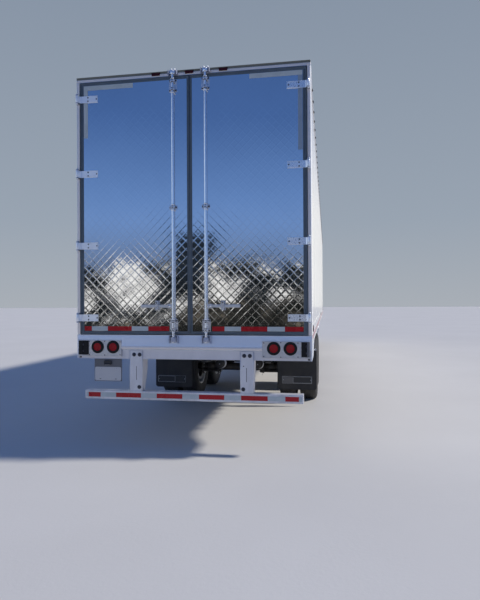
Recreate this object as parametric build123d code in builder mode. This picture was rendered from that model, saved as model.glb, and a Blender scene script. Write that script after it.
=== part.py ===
from build123d import *
import os

# ---------------------------------------------------------------------------
# Refrigerated van semi trailer, 53 ft, parked on its landing legs.
# Millimetres. +X to the right, +Y forward (the doors are at the -Y end), +Z up.
# Lengths along the trailer are given as distances ahead of the rear plane
# (the outer face of the rear frame), and y() turns one into the part's frame.
# ---------------------------------------------------------------------------
os.makedirs("parts", exist_ok=True)

# Overall
HALF_W = 1295.4            # half of 102 in
TOP = 4115.0               # 13 ft 6 in
BODY_L = 16154.0           # 53 ft, rear plane to nose face
UNIT_DEPTH = 450.0         # refrigeration unit ahead of the nose
HINGE_BACK = 52.5          # the hinge knuckles, behind the rear plane
YR = -(BODY_L + UNIT_DEPTH - HINGE_BACK) / 2     # rear plane in the part's frame

# Box
WALL_OUT = 1290.0
WALL_IN = 1225.0
FLOOR_TOP = 1315.0
RAIL_BOT = 1161.5
CROSS_BOT = 1061.5
FRAME_D = 200.0            # rear frame, front to back
NOSE_T = 100.0             # front wall
ROOF_UNDER = 4040.0
ROOF_TOP = 4105.0
RAIL_TOP_BOT = 3990.0

# Rear frame
POST_IN = 1257.0
POST_STEP = 92.0           # depth of the recess that a door lies in
POST_BACK_IN = 1200.0
HEAD_BOT = 4059.0
HEAD_BACK_BOT = 3985.0
SILL_TOP = 1257.0
SILL_BOT = 993.0
SILL_STEP = 1100.0
SILL_SET = 14.0            # the lower band of the sill is set in by this

# Doors
SKIN_OUT = 1212.0
SKIN_IN = 28.0
SKIN_BOT = 1298.0
SKIN_TOP = 4020.0
DOOR_T = 85.0
SEAL_OUT = 1252.0
SEAL_IN = 6.0
SEAL_BOT = 1266.0
SEAL_TOP = 4054.0
SEAL_T = 30.0
PIN_X = 1272.0
PIN_BACK = 38.0
PIN_R = 6.5
KNUCKLE_R = 14.5
HINGE_Z = (1443.0, 2240.0, 3038.0, 3868.0)
STRAP_IN = 1047.0
STRAP_H = 75.0
EAR_T = 12.0
ROD_X = 180.0
ROD_R = 14.0
ROD_BACK = 25.0
HANDLE_Z = 1570.0

# Rear guard
GUARD_HALF = 1203.0
GUARD_BOT = 548.0
GUARD_TOP = 645.0
GUARD_T = 100.0
GPOST_X = 613.0
GPOST_W = 138.0
GPOST_D = 180.0

# Running gear
WHEEL_R = 507.0
AXLE_REAR = 3400.0
AXLE_GAP = 1245.0
TRACK_HALF = 984.25        # centre of a twin pair
DUAL_HALF = 165.0          # half the spacing of the two tyres
TYRE_HALF = 139.5
BEAM_X = 520.0             # trailing arms
BOGIE_BACK = 2780.0
BOGIE_FRONT = 5330.0
BRAIL_IN, BRAIL_OUT = 485.0, 590.0
BRAIL_BOT, BRAIL_TOP = 875.0, 1045.0
SRAIL_BACK, SRAIL_FRONT = 1450.0, 6700.0
FLAP_D = 2680.0
FLAP_TOP = 890.0

# Front end
KINGPIN_D = BODY_L - 914.0
COUPLER_BACK = 14150.0
COUPLER_BOT = 1160.0
LEG_D = BODY_L - 3560.0
LEG_X = 930.0


def y(d):
    """Place of a point that is d ahead of the rear plane."""
    return YR + d


def block(x0, x1, d0, d1, z0, z1, mode=Mode.ADD):
    """A rectangular block between two corners, added to the block under way."""
    with Locations(((x0 + x1) / 2, y((d0 + d1) / 2), (z0 + z1) / 2)):
        Box(abs(x1 - x0), abs(d1 - d0), abs(z1 - z0), mode=mode)


def rod_x(x0, x1, d, z, r, mode=Mode.ADD):
    """A round bar across the trailer."""
    with Locations(Location(((x0 + x1) / 2, y(d), z), (0, 90, 0))):
        Cylinder(r, abs(x1 - x0), mode=mode)


def rod_y(x, d0, d1, z, r, mode=Mode.ADD):
    """A round bar along the trailer."""
    with Locations(Location((x, y((d0 + d1) / 2), z), (90, 0, 0))):
        Cylinder(r, abs(d1 - d0), mode=mode)


def rod_z(x, d, z0, z1, r, mode=Mode.ADD):
    """An upright round bar."""
    with Locations((x, y(d), (z0 + z1) / 2)):
        Cylinder(r, abs(z1 - z0), mode=mode)


def save(piece, name):
    piece.part.label = name
    export_step(piece.part, "parts/" + name + ".step")


SIDES = (("left", -1), ("right", 1))     # name, sign of X

# ---------------------------------------------------------------------------
# Load box
# ---------------------------------------------------------------------------
for side, s in SIDES:
    with BuildPart() as wall:
        block(s * WALL_IN, s * WALL_OUT, FRAME_D, BODY_L - NOSE_T, FLOOR_TOP, RAIL_TOP_BOT)
    save(wall, side + "_wall")

with BuildPart() as front_wall:
    with BuildSketch(Plane.XY.offset(RAIL_BOT)) as nose:
        with Locations((0, y(BODY_L - NOSE_T / 2))):
            Rectangle(2 * WALL_OUT, NOSE_T)
        fillet(nose.vertices().group_by(Axis.Y)[-1], 85)
    extrude(amount=ROOF_TOP - RAIL_BOT)
save(front_wall, "front_wall")

with BuildPart() as roof:
    block(-WALL_IN + 10, WALL_IN - 10, FRAME_D, BODY_L - NOSE_T, ROOF_UNDER, ROOF_TOP)
save(roof, "roof")

with BuildPart() as floor:
    with BuildSketch(Plane.YZ.offset(-WALL_IN)):
        with BuildLine():
            Polyline((y(FRAME_D), RAIL_BOT), (y(COUPLER_BACK), RAIL_BOT), (y(COUPLER_BACK), RAIL_BOT + 75),
                     (y(BODY_L - NOSE_T), RAIL_BOT + 75), (y(BODY_L - NOSE_T), FLOOR_TOP),
                     (y(FRAME_D), FLOOR_TOP), close=True)
        make_face()
    extrude(amount=2 * WALL_IN)
    block(-POST_BACK_IN, POST_BACK_IN, 110, FRAME_D, SILL_TOP, FLOOR_TOP)
save(floor, "floor")

with BuildPart() as bottom_rails:
    with BuildSketch(Plane.XZ.offset(-y(FRAME_D))):
        for s in (-1, 1):
            with BuildLine():
                Polyline((s * WALL_IN, RAIL_BOT), (s * HALF_W, RAIL_BOT), (s * HALF_W, FLOOR_TOP + 45),
                         (s * WALL_OUT, FLOOR_TOP + 45), (s * WALL_OUT, FLOOR_TOP), (s * WALL_IN, FLOOR_TOP),
                         close=True)
            make_face()
    extrude(amount=-(BODY_L - NOSE_T - FRAME_D))
save(bottom_rails, "bottom_rails")

with BuildPart() as top_rails:
    with BuildSketch(Plane.XZ.offset(-y(FRAME_D))):
        for s in (-1, 1):
            with BuildLine():
                Polyline((s * (WALL_IN - 10), RAIL_TOP_BOT), (s * WALL_OUT, RAIL_TOP_BOT),
                         (s * WALL_OUT, RAIL_TOP_BOT - 40), (s * HALF_W, RAIL_TOP_BOT - 40),
                         (s * HALF_W, ROOF_TOP - 14), (s * (HALF_W - 14), ROOF_TOP),
                         (s * (WALL_IN - 10), ROOF_TOP), close=True)
            make_face()
    extrude(amount=-(BODY_L - NOSE_T - FRAME_D))
save(top_rails, "top_rails")

# ---------------------------------------------------------------------------
# Rear frame
# ---------------------------------------------------------------------------
with BuildPart() as rear_posts:
    with BuildSketch(Plane.XY.offset(SILL_TOP)):
        for s in (-1, 1):
            with BuildLine():
                Polyline((s * POST_IN, y(0)), (s * (HALF_W - 6), y(0)), (s * HALF_W, y(6)), (s * HALF_W, y(FRAME_D)),
                         (s * POST_BACK_IN, y(FRAME_D)), (s * POST_BACK_IN, y(POST_STEP)),
                         (s * POST_IN, y(POST_STEP)), close=True)
            make_face()
    extrude(amount=HEAD_BOT - SILL_TOP)
save(rear_posts, "rear_posts")

with BuildPart() as rear_header:
    block(-HALF_W, HALF_W, 0, FRAME_D, HEAD_BOT, TOP)
    block(-POST_BACK_IN, POST_BACK_IN, POST_STEP, FRAME_D, HEAD_BACK_BOT, HEAD_BOT)
save(rear_header, "rear_header")

with BuildPart() as rear_sill:
    # pressed channel, open to the front, its lower band set in
    with BuildSketch(Plane.YZ.offset(-(HALF_W - 10))):
        with BuildLine():
            Polyline((y(0), SILL_TOP), (y(FRAME_D), SILL_TOP), (y(FRAME_D), SILL_TOP - 10), (y(10), SILL_TOP - 10),
                     (y(10), SILL_STEP + 10), (y(SILL_SET + 10), SILL_STEP + 10), (y(SILL_SET + 10), SILL_BOT + 10),
                     (y(120), SILL_BOT + 10), (y(120), SILL_BOT), (y(SILL_SET), SILL_BOT),
                     (y(SILL_SET), SILL_STEP), (y(0), SILL_STEP), close=True)
        make_face()
    extrude(amount=2 * (HALF_W - 10))
    # side gussets that close its ends and run forward under the walls
    for s in (-1, 1):
        with BuildSketch(Plane.YZ.offset(s * HALF_W if s < 0 else HALF_W - 10)):
            with BuildLine():
                Polyline((y(0), SILL_TOP), (y(FRAME_D), SILL_TOP), (y(FRAME_D), RAIL_BOT), (y(1000), RAIL_BOT),
                         (y(550), SILL_BOT), (y(0), SILL_BOT), close=True)
            make_face()
        extrude(amount=10)
save(rear_sill, "rear_sill")

with BuildPart() as hinge_butts:
    # ears above and below a strap's knuckle, with the pin, on a plate round the post's corner
    for s in (-1, 1):
        for z in HINGE_Z:
            for z0 in (z - STRAP_H / 2 - 1 - EAR_T, z + STRAP_H / 2 + 1):
                with BuildSketch(Plane.XY.offset(z0)):
                    with Locations((s * PIN_X, y(-PIN_BACK))):
                        Circle(KNUCKLE_R)
                    with BuildLine():
                        Polyline((s * (PIN_X - 14), y(-PIN_BACK)), (s * (PIN_X + 14), y(-PIN_BACK)),
                                 (s * (HALF_W - 7), y(0)), (s * (POST_IN + 4), y(0)), close=True)
                    make_face()
                extrude(amount=EAR_T)
            block(s * (POST_IN + 4), s * (HALF_W - 7), -4, 0, z - 51, z + 51)
            rod_z(s * PIN_X, -PIN_BACK, z - 57, z + 57, PIN_R)
save(hinge_butts, "hinge_butts")

# Keepers: cheek plates each side of a cam, open to the rear
with BuildPart() as rod_keepers:
    for s in (-1, 1):
        for z0, z1 in ((SILL_TOP - 88, SILL_TOP - 6), (HEAD_BOT + 3, TOP - 2)):
            block(s * (ROD_X - 50), s * (ROD_X + 50), -4, 0, z0, z1)
            for x in (ROD_X - 50, ROD_X + 40):
                block(s * x, s * (x + 10), -36, -4, z0, z1)
save(rod_keepers, "rod_keepers")

with BuildPart() as marker_lamps:
    for x in (-373, 0, 373):
        with Locations(Location((x, y(-6), 4088), (90, 0, 0))):
            Box(98, 34, 12)
        fillet(marker_lamps.edges().filter_by(Axis.Y).group_by(Axis.X)[-1], 8)
save(marker_lamps, "marker_lamps")

PLATE_IN, PLATE_OUT = 776.0, 1276.0
with BuildPart() as lamp_plates:
    for s in (-1, 1):
        block(s * PLATE_IN, s * PLATE_OUT, -8, 0, 1022, 1197)
        block(s * PLATE_IN, s * PLATE_OUT, 0, SILL_SET, 1022, SILL_STEP)
save(lamp_plates, "lamp_plates")

LAMPS = ((-1053, 1123), (-873, 1123), (898, 1123), (1072, 1123))     # x, z
with BuildPart() as tail_lamps:
    for x, z in LAMPS:
        rod_y(x, -14, -8, z, 70)
        rod_y(x, -20, -14, z, 44)
    fillet(tail_lamps.edges().filter_by(GeomType.CIRCLE).group_by(Axis.Y)[0], 4)
save(tail_lamps, "tail_lamps")

with BuildPart() as dock_bumpers:
    block(-1272, -1160, -24, -8, 1036, 1192)
    block(1186, 1272, -24, -8, 1036, 1192)
    fillet(dock_bumpers.edges().filter_by(Axis.Z), 5)
save(dock_bumpers, "dock_bumpers")

with BuildPart() as licence_plate:
    block(-1100, -782, SILL_SET, SILL_SET + 6, 745, SILL_BOT)
    block(-1093, -788, SILL_SET - 2, SILL_SET, 750, 902)
save(licence_plate, "licence_plate")

with BuildPart() as rear_guard:
    # a square tube carried by two channel posts
    block(-GUARD_HALF, GUARD_HALF, 0, GUARD_T, GUARD_BOT, GUARD_TOP)
    fillet(rear_guard.edges().filter_by(Axis.X), 8)
    block(-GUARD_HALF, GUARD_HALF, 6, GUARD_T - 6, GUARD_BOT + 6, GUARD_TOP - 6, mode=Mode.SUBTRACT)
    for s in (-1, 1):
        x0, x1 = s * (GPOST_X - GPOST_W / 2), s * (GPOST_X + GPOST_W / 2)
        block(x0, x1, 2, SILL_SET, GUARD_TOP - 10, 1085)
        for x in (x0, x1 - s * 8):
            with BuildSketch(Plane.YZ.offset(min(x, x + s * 8))):
                with BuildLine():
                    Polyline((y(SILL_SET), GUARD_TOP - 3), (y(GUARD_T - 8), GUARD_TOP - 3), (y(GPOST_D), SILL_BOT - 120),
                             (y(GPOST_D), SILL_BOT), (y(SILL_SET), SILL_BOT), close=True)
                make_face()
            extrude(amount=8)
save(rear_guard, "rear_guard")

# ---------------------------------------------------------------------------
# Rear doors
# ---------------------------------------------------------------------------
for side, s in SIDES:
    with BuildPart() as panel:
        block(s * SKIN_IN, s * SKIN_OUT, 0, DOOR_T, SKIN_BOT, SKIN_TOP)
    save(panel, side + "_door_panel")

    with BuildPart() as seal:
        block(s * SEAL_IN, s * SEAL_OUT, 2, SEAL_T, SEAL_BOT, SEAL_TOP)
        block(s * SKIN_IN, s * SKIN_OUT, 0, DOOR_T, SKIN_BOT, SKIN_TOP, mode=Mode.SUBTRACT)
    save(seal, side + "_door_seal")

    with BuildPart() as straps:
        for z in HINGE_Z:
            with BuildSketch(Plane.XY.offset(z - STRAP_H / 2)):
                with Locations((s * PIN_X, y(-PIN_BACK))):
                    Circle(KNUCKLE_R)
                with BuildLine():
                    # flat on the door and the seal, then bent back to the knuckle
                    Polyline((s * STRAP_IN, y(0)), (s * 1236, y(0)), (s * 1246, y(-3)), (s * 1254, y(-11)),
                             (s * 1264, y(-28)), (s * 1272, y(-38)), (s * 1258, y(-42)), (s * 1252, y(-24)),
                             (s * 1247, y(-12)), (s * 1240, y(-8)), (s * STRAP_IN, y(-8)), close=True)
                make_face()
                with Locations((s * PIN_X, y(-PIN_BACK))):
                    Circle(PIN_R + 0.5, mode=Mode.SUBTRACT)
            extrude(amount=STRAP_H)
    save(straps, side + "_hinge_straps")

    with BuildPart() as lock_rod:
        rod_z(s * ROD_X, -ROD_BACK, SILL_TOP - 82, TOP - 8, ROD_R)
        # cam blades at each end, between a keeper's cheeks
        for z0, z1 in ((SILL_TOP - 72, SILL_TOP - 22), (HEAD_BOT + 8, TOP - 10)):
            block(s * (ROD_X - 28), s * (ROD_X + 28), -36, -12, z0, z1)
        # the handle: its hub on the rod, and the flat bar that lies along the door
        block(s * (ROD_X + 8), s * (ROD_X + 64), -38, -12, HANDLE_Z - 23, HANDLE_Z + 23)
        with BuildSketch(Plane.XZ.offset(-y(-ROD_BACK + 5))):
            with Locations((s * (ROD_X + 60 + 545) / 2, HANDLE_Z)):
                SlotOverall(545 - ROD_X - 60, 26)
            with Locations((s * (ROD_X + 80), HANDLE_Z)):
                Rectangle(60, 26)
        extrude(amount=10)
    save(lock_rod, side + "_lock_rod")

    # saddles that hold the rod, and the retainer that holds the handle
    SADDLES = ((1361, 66, 45), (2635, 22, 45), (3951, 66, 45))        # z, half height, half width
    with BuildPart() as brackets:
        for z, h, w in SADDLES:
            block(s * (ROD_X - w), s * (ROD_X + w), -6, 0, z - h, z + h)
            for zc in ((z,) if h < 40 else (z - h + 22, z + h - 22)):
                block(s * (ROD_X - 24), s * (ROD_X + 24), -42, -6, zc - 14, zc + 14)
        rod_z(s * ROD_X, -ROD_BACK, 1200, 4100, ROD_R + 0.5, mode=Mode.SUBTRACT)
        block(s * 337, s * 389, -6, 0, HANDLE_Z - 46, HANDLE_Z + 60)
        for z0, z1 in ((HANDLE_Z - 26, HANDLE_Z - 16), (HANDLE_Z + 16, HANDLE_Z + 26)):
            block(s * 345, s * 381, -38, -6, z0, z1)
    save(brackets, side + "_rod_brackets")

# ---------------------------------------------------------------------------
# Underside, fixed to the box
# ---------------------------------------------------------------------------
CROSS_N = 45
CROSS_STEP = 305.0
with BuildPart() as crossmembers:
    with BuildSketch(Plane.YZ.offset(-WALL_IN)):
        for i in range(CROSS_N):
            d = 360 + i * CROSS_STEP
            with Locations((y(d), (CROSS_BOT + RAIL_BOT) / 2)):
                Rectangle(6, RAIL_BOT - CROSS_BOT)
            with Locations((y(d), CROSS_BOT + 3), (y(d), RAIL_BOT - 3)):
                Rectangle(57, 6)
    extrude(amount=2 * WALL_IN)
save(crossmembers, "crossmembers")

with BuildPart() as slide_rails:
    with BuildSketch(Plane.XZ.offset(-y(SRAIL_BACK))):
        for s in (-1, 1):
            with BuildLine():
                Polyline((s * BRAIL_IN, CROSS_BOT), (s * 660, CROSS_BOT), (s * 660, CROSS_BOT - 9),
                         (s * 612, CROSS_BOT - 9), (s * 612, 908), (s * 645, 908), (s * 645, 898), (s * 600, 898),
                         (s * 600, CROSS_BOT - 9), (s * BRAIL_IN, CROSS_BOT - 9), close=True)
            make_face()
    extrude(amount=-(SRAIL_FRONT - SRAIL_BACK))
save(slide_rails, "slide_rails")

with BuildPart() as upper_coupler:
    block(-1040, 1040, COUPLER_BACK, BODY_L - NOSE_T, COUPLER_BOT, COUPLER_BOT + 10)
    # the hole that the kingpin hangs through
    rod_z(0, KINGPIN_D, COUPLER_BOT - 5, COUPLER_BOT + 15, 38, Mode.SUBTRACT)
    for d in (COUPLER_BACK, 14550, 14950, 15450, BODY_L - NOSE_T - 80):
        block(-WALL_IN, WALL_IN, d, d + 80, COUPLER_BOT + 10, RAIL_BOT + 75)
save(upper_coupler, "upper_coupler")

with BuildPart() as kingpin:
    # head that rests on the coupler plate, then collar, neck and bottom flange
    for z0, z1, r in ((COUPLER_BOT + 10, COUPLER_BOT + 26, 90), (COUPLER_BOT - 35, COUPLER_BOT + 10, 36.5),
                      (COUPLER_BOT - 71, COUPLER_BOT - 35, 25.4), (COUPLER_BOT - 84, COUPLER_BOT - 71, 35.7)):
        rod_z(0, KINGPIN_D, z0, z1, r)
save(kingpin, "kingpin")

with BuildPart() as landing_legs:
    for s in (-1, 1):
        block(s * (LEG_X - 65), s * (LEG_X + 65), LEG_D - 65, LEG_D + 65, 430, CROSS_BOT)
        block(s * (LEG_X - 55), s * (LEG_X + 55), LEG_D - 55, LEG_D + 55, 60, 430)
        block(s * (LEG_X - 127), s * (LEG_X + 127), LEG_D - 127, LEG_D + 127, 0, 14)
        block(s * (LEG_X - 60), s * (LEG_X + 60), LEG_D - 90, LEG_D + 90, 14, 60)
save(landing_legs, "landing_legs")

with BuildPart() as landing_braces:
    block(-(LEG_X - 65), LEG_X - 65, LEG_D - 20, LEG_D + 20, 620, 660)
    with BuildSketch(Plane.XZ.offset(-y(LEG_D + 20))):
        for s in (-1, 1):
            with BuildLine():
                Polyline((s * 800, 655), (s * 840, 655), (s * 320, CROSS_BOT), (s * 270, CROSS_BOT), close=True)
            make_face()
    extrude(amount=-12)
    for s in (-1, 1):
        with BuildSketch(Plane.YZ.offset(s * (LEG_X - 65 - 6) - 6)):
            with BuildLine():
                Polyline((y(LEG_D - 15), 625), (y(LEG_D - 15), 680), (y(LEG_D - 760), CROSS_BOT),
                         (y(LEG_D - 820), CROSS_BOT), close=True)
            make_face()
        extrude(amount=12)
save(landing_braces, "landing_braces")

with BuildPart() as landing_crank:
    rod_x(-(LEG_X - 66), LEG_X - 66, LEG_D, 935, 14)
    rod_x(-(LEG_X + 66), -(LEG_X + 130), LEG_D, 935, 14)
    block(-(LEG_X + 142), -(LEG_X + 130), LEG_D - 16, LEG_D + 16, 610, 951)
    rod_x(-(LEG_X + 142), -(LEG_X + 250), LEG_D, 630, 13)
save(landing_crank, "landing_crank")

TANK_X, TANK_D0, TANK_D1, TANK_Z, TANK_R = 900.0, 10400.0, 11470.0, 710.0, 280.0
with BuildPart() as fuel_tank:
    rod_y(TANK_X, TANK_D0, TANK_D1, TANK_Z, TANK_R)
    fillet(fuel_tank.edges().filter_by(GeomType.CIRCLE), 30)
    rod_z(TANK_X + 90, TANK_D1 - 160, TANK_Z + 240, TANK_Z + TANK_R + 22, 42)
save(fuel_tank, "fuel_tank")

with BuildPart() as fuel_tank_straps:
    for d in (TANK_D0 + 190, TANK_D1 - 300):
        rod_y(TANK_X, d, d + 60, TANK_Z, TANK_R + 8)
        block(TANK_X - TANK_R - 8, TANK_X + TANK_R + 8, d, d + 60, TANK_Z, CROSS_BOT)
        rod_y(TANK_X, d, d + 60, TANK_Z, TANK_R + 0.5, mode=Mode.SUBTRACT)
save(fuel_tank_straps, "fuel_tank_straps")

# ---------------------------------------------------------------------------
# Nose
# ---------------------------------------------------------------------------
with BuildPart() as refrigeration_unit:
    with BuildSketch(Plane.XY.offset(1760)) as plan:
        with Locations((0, y(BODY_L + UNIT_DEPTH / 2))):
            Rectangle(2060, UNIT_DEPTH)
        fillet(plan.vertices().group_by(Axis.Y)[-1], 150)
    extrude(amount=2260)
    fillet(refrigeration_unit.faces().sort_by(Axis.Z)[-1].edges().sort_by(Axis.Y)[-1], 60)
save(refrigeration_unit, "refrigeration_unit")

with BuildPart() as gladhand_box:
    block(-330, 330, BODY_L, BODY_L + 30, 1190, 1390)
    for x in (-220, 220):
        rod_y(x, BODY_L + 30, BODY_L + 75, 1300, 34)
    rod_y(0, BODY_L + 30, BODY_L + 80, 1290, 38)
save(gladhand_box, "gladhand_box")

# ---------------------------------------------------------------------------
# Sliding bogie
# ---------------------------------------------------------------------------
AXLES = (("rear", AXLE_REAR), ("front", AXLE_REAR + AXLE_GAP))     # name, distance

with BuildPart() as bogie_frame:
    for s in (-1, 1):
        block(s * BRAIL_IN, s * BRAIL_OUT, BOGIE_BACK, BOGIE_FRONT, BRAIL_BOT, BRAIL_TOP)
    for d in (BOGIE_BACK, 3700, 4260, BOGIE_FRONT - 100):
        block(-BRAIL_IN, BRAIL_IN, d, d + 100, BRAIL_BOT + 15, BRAIL_TOP - 45)
    # hangers, two plates each side of an arm
    for name, a in AXLES:
        for s in (-1, 1):
            for x in (BEAM_X - 62, BEAM_X + 50):
                with BuildSketch(Plane.YZ.offset(s * x if s > 0 else -x - 12)):
                    with BuildLine():
                        Polyline((y(a + 360), BRAIL_BOT), (y(a + 620), BRAIL_BOT), (y(a + 590), 580),
                                 (y(a + 450), 580), close=True)
                    make_face()
                extrude(amount=12)
            block(s * (BEAM_X - 50), s * (BEAM_X + 50), a + 604, a + 612, 720, BRAIL_BOT)
            # seat of a shock absorber
            block(s * 378, s * BRAIL_IN, a + 225, a + 315, BRAIL_BOT, BRAIL_BOT + 12)
    # brackets that carry the mud flaps
    for s in (-1, 1):
        block(s * 545, s * 580, FLAP_D + 4, BOGIE_BACK + 60, FLAP_TOP - 38, FLAP_TOP)
        block(s * 545, s * 1285, FLAP_D + 4, FLAP_D + 24, FLAP_TOP - 38, FLAP_TOP)
save(bogie_frame, "bogie_frame")

with BuildPart() as trailing_arms:
    for name, a in AXLES:
        for s in (-1, 1):
            with BuildSketch(Plane.YZ.offset(s * BEAM_X - 40)):
                with BuildLine():
                    Polyline((y(a + 480), 595), (y(a + 560), 595), (y(a + 575), 640), (y(a + 560), 685),
                             (y(a + 110), 680), (y(a - 300), 655), (y(a - 560), 655), (y(a - 560), 632),
                             (y(a - 300), 615), (y(a - 100), 571.5), (y(a + 100), 571.5), close=True)
                make_face()
            extrude(amount=80)
            rod_x(s * (BEAM_X - 50), s * (BEAM_X + 50), a + 520, 640, 24)
save(trailing_arms, "trailing_arms")

with BuildPart() as air_springs:
    # piston, rolled lobe and top plate of each bellows
    for name, a in AXLES:
        for s in (-1, 1):
            with BuildSketch(Plane(origin=(s * BEAM_X, y(a - 430), 0), x_dir=(1, 0, 0), z_dir=(0, -1, 0))):
                with BuildLine():
                    Polyline((0, 656), (95, 656), (88, 700), (112, 715), (124, 745), (124, 820), (112, 850),
                             (112, 874), (0, 874), close=True)
                make_face()
            revolve(axis=Axis((s * BEAM_X, y(a - 430), 0), (0, 0, 1)))
save(air_springs, "air_springs")

with BuildPart() as shock_absorbers:
    for name, a in AXLES:
        for s in (-1, 1):
            with BuildSketch(Plane.YZ.offset(s * (BEAM_X - 120) - 32)):
                with BuildLine():
                    Polyline((y(a + 45), 590), (y(a + 100), 560), (y(a + 300), 853), (y(a + 245), BRAIL_BOT), close=True)
                make_face()
            extrude(amount=64)
save(shock_absorbers, "shock_absorbers")

with BuildPart() as axles:
    for name, a in AXLES:
        rod_x(-700, 700, a, WHEEL_R, 63.5)
        for s in (-1, 1):
            rod_x(s * 699, s * (TRACK_HALF + 150), a, WHEEL_R, 50)
            # brake spider and camshaft
            rod_x(s * 640, s * 668, a, WHEEL_R, 130)
            rod_x(s * 330, s * 668, a - 100, WHEEL_R - 60, 19)
            block(s * 340, s * 362, a - 118, a + 20, WHEEL_R - 85, WHEEL_R + 20)
            block(s * 380, s * 420, a + 20, a + 60, WHEEL_R + 30, WHEEL_R + 58)
            block(s * 376, s * 400, a - 122, a - 78, WHEEL_R - 90, WHEEL_R + 90)
save(axles, "axles")

with BuildPart() as brake_chambers:
    for name, a in AXLES:
        for s in (-1, 1):
            rod_y(s * 320, a - 300, a - 215, WHEEL_R + 75, 76)
            rod_y(s * 320, a - 215, a - 130, WHEEL_R + 75, 84)
            block(s * 262, s * 376, a - 130, a - 120, WHEEL_R + 10, WHEEL_R + 140)
            block(s * 280, s * 330, a - 120, a - 20, WHEEL_R + 64, WHEEL_R + 84)
save(brake_chambers, "brake_chambers")

with BuildPart() as air_tank:
    rod_x(-330, 330, 3980, 905, 112)
    fillet(air_tank.edges().filter_by(GeomType.CIRCLE), 40)
    for x in (-200, 200):
        block(x - 20, x + 20, 3700 + 100, 3980, 985, 1000)
save(air_tank, "air_tank")

with BuildPart() as mudflaps:
    for s in (-1, 1):
        block(s * 682, s * 1290, FLAP_D - 6, FLAP_D + 4, 248, FLAP_TOP)
    fillet(mudflaps.edges().filter_by(Axis.Y).group_by(Axis.Z)[0], 40)
save(mudflaps, "mudflaps")

# ---------------------------------------------------------------------------
# Twin wheels. Profiles are half sections: x outboard from the centre of the pair, radius
# ---------------------------------------------------------------------------
TYRE = ((-104, 290), (-126, 322), (-139.5, 395), (-133, 455), (-118, 492), (-100, 507), (100, 507), (118, 492),
        (133, 455), (139.5, 395), (126, 322), (104, 290))
OUTER_DISC = ((2, 96), (2, 200), (40, 252), (66, 289), (270, 289), (280, 302), (288, 302), (284, 277), (90, 275),
              (52, 240), (16, 196), (16, 96))
HUB = ((-190, 52), (-190, 96), (-40, 96), (-40, 118), (-2, 118), (-2, 96), (160, 88), (172, 72), (212, 68),
       (218, 58), (218, 0), (165, 0), (165, 52))
DRUM = ((-262, 190), (-262, 212), (-60, 212), (-38, 160), (-38, 96), (-56, 96), (-56, 150), (-78, 190))

for name, a in AXLES:
    for side, s in SIDES:
        centre = Plane(origin=(s * TRACK_HALF, y(a), WHEEL_R), x_dir=(s, 0, 0), z_dir=(0, -s, 0))
        spin = Axis((s * TRACK_HALF, y(a), WHEEL_R), (1, 0, 0))
        with BuildPart() as tyres:
            with BuildSketch(centre):
                for c in (-DUAL_HALF, DUAL_HALF):
                    with BuildLine():
                        Polyline(*[(c + x, r) for x, r in TYRE], close=True)
                    make_face()
            revolve(axis=spin)
        save(tyres, name + "_" + side + "_tyres")
        with BuildPart() as wheel:
            with BuildSketch(centre):
                for pts in (OUTER_DISC, [(-x, r) for x, r in OUTER_DISC], HUB, DRUM):
                    with BuildLine():
                        Polyline(*pts, close=True)
                    make_face()
                with BuildLine():
                    Polyline((-2, 96), (2, 96), (2, 200), (-2, 200), close=True)
                make_face()
            revolve(axis=spin)
        save(wheel, name + "_" + side + "_wheel")
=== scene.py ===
import bpy, bmesh, math, random
import numpy as np
from mathutils import Vector, Matrix


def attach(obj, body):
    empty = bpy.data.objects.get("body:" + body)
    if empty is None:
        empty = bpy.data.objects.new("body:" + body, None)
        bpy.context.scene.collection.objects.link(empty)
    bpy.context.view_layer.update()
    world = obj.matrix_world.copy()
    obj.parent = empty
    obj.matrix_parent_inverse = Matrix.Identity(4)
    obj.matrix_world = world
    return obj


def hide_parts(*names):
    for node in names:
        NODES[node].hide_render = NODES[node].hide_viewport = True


# Looks of a refrigerated van semi trailer. Metres; +X right, +Y forward (doors at the -Y end), +Z up.
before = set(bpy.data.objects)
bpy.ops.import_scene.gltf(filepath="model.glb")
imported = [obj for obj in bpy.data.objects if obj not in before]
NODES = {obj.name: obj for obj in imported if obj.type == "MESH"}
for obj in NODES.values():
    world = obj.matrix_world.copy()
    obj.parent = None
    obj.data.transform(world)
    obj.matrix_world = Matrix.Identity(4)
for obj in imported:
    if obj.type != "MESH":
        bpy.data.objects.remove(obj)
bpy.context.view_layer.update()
rng = random.Random(11)

YR = -8.27575                    # rear plane
HALF_W, TOP, BODY_L = 1.2954, 4.115, 16.154


def y(d):
    """Place of a point d metres ahead of the rear plane."""
    return YR + d


# ---------------------------------------------------------------------------
# Camera
# ---------------------------------------------------------------------------
cam_data = bpy.data.cameras.new("camera")
cam = bpy.data.objects.new("camera", cam_data)
bpy.context.scene.collection.objects.link(cam)
bpy.context.scene.camera = cam
yaw, pitch, roll = math.radians(9.448), math.radians(0.254), math.radians(-0.272)
fwd = Vector((-math.sin(yaw) * math.cos(pitch), math.cos(yaw) * math.cos(pitch), math.sin(pitch)))
right0 = Vector((math.cos(yaw), math.sin(yaw), 0))
up0 = right0.cross(fwd)
right = math.cos(roll) * right0 + math.sin(roll) * up0
up = -math.sin(roll) * right0 + math.cos(roll) * up0
m = Matrix((right, up, -fwd)).transposed().to_4x4()
m.translation = Vector((1.4445, y(-5.4195), 1.6077))
cam.matrix_world = m
cam_data.sensor_width = 36.0
cam_data.lens = 519.85 * 36.0 / 600.0
cam_data.clip_start, cam_data.clip_end = 0.05, 1000

# ---------------------------------------------------------------------------
# Node helpers
# ---------------------------------------------------------------------------


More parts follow.
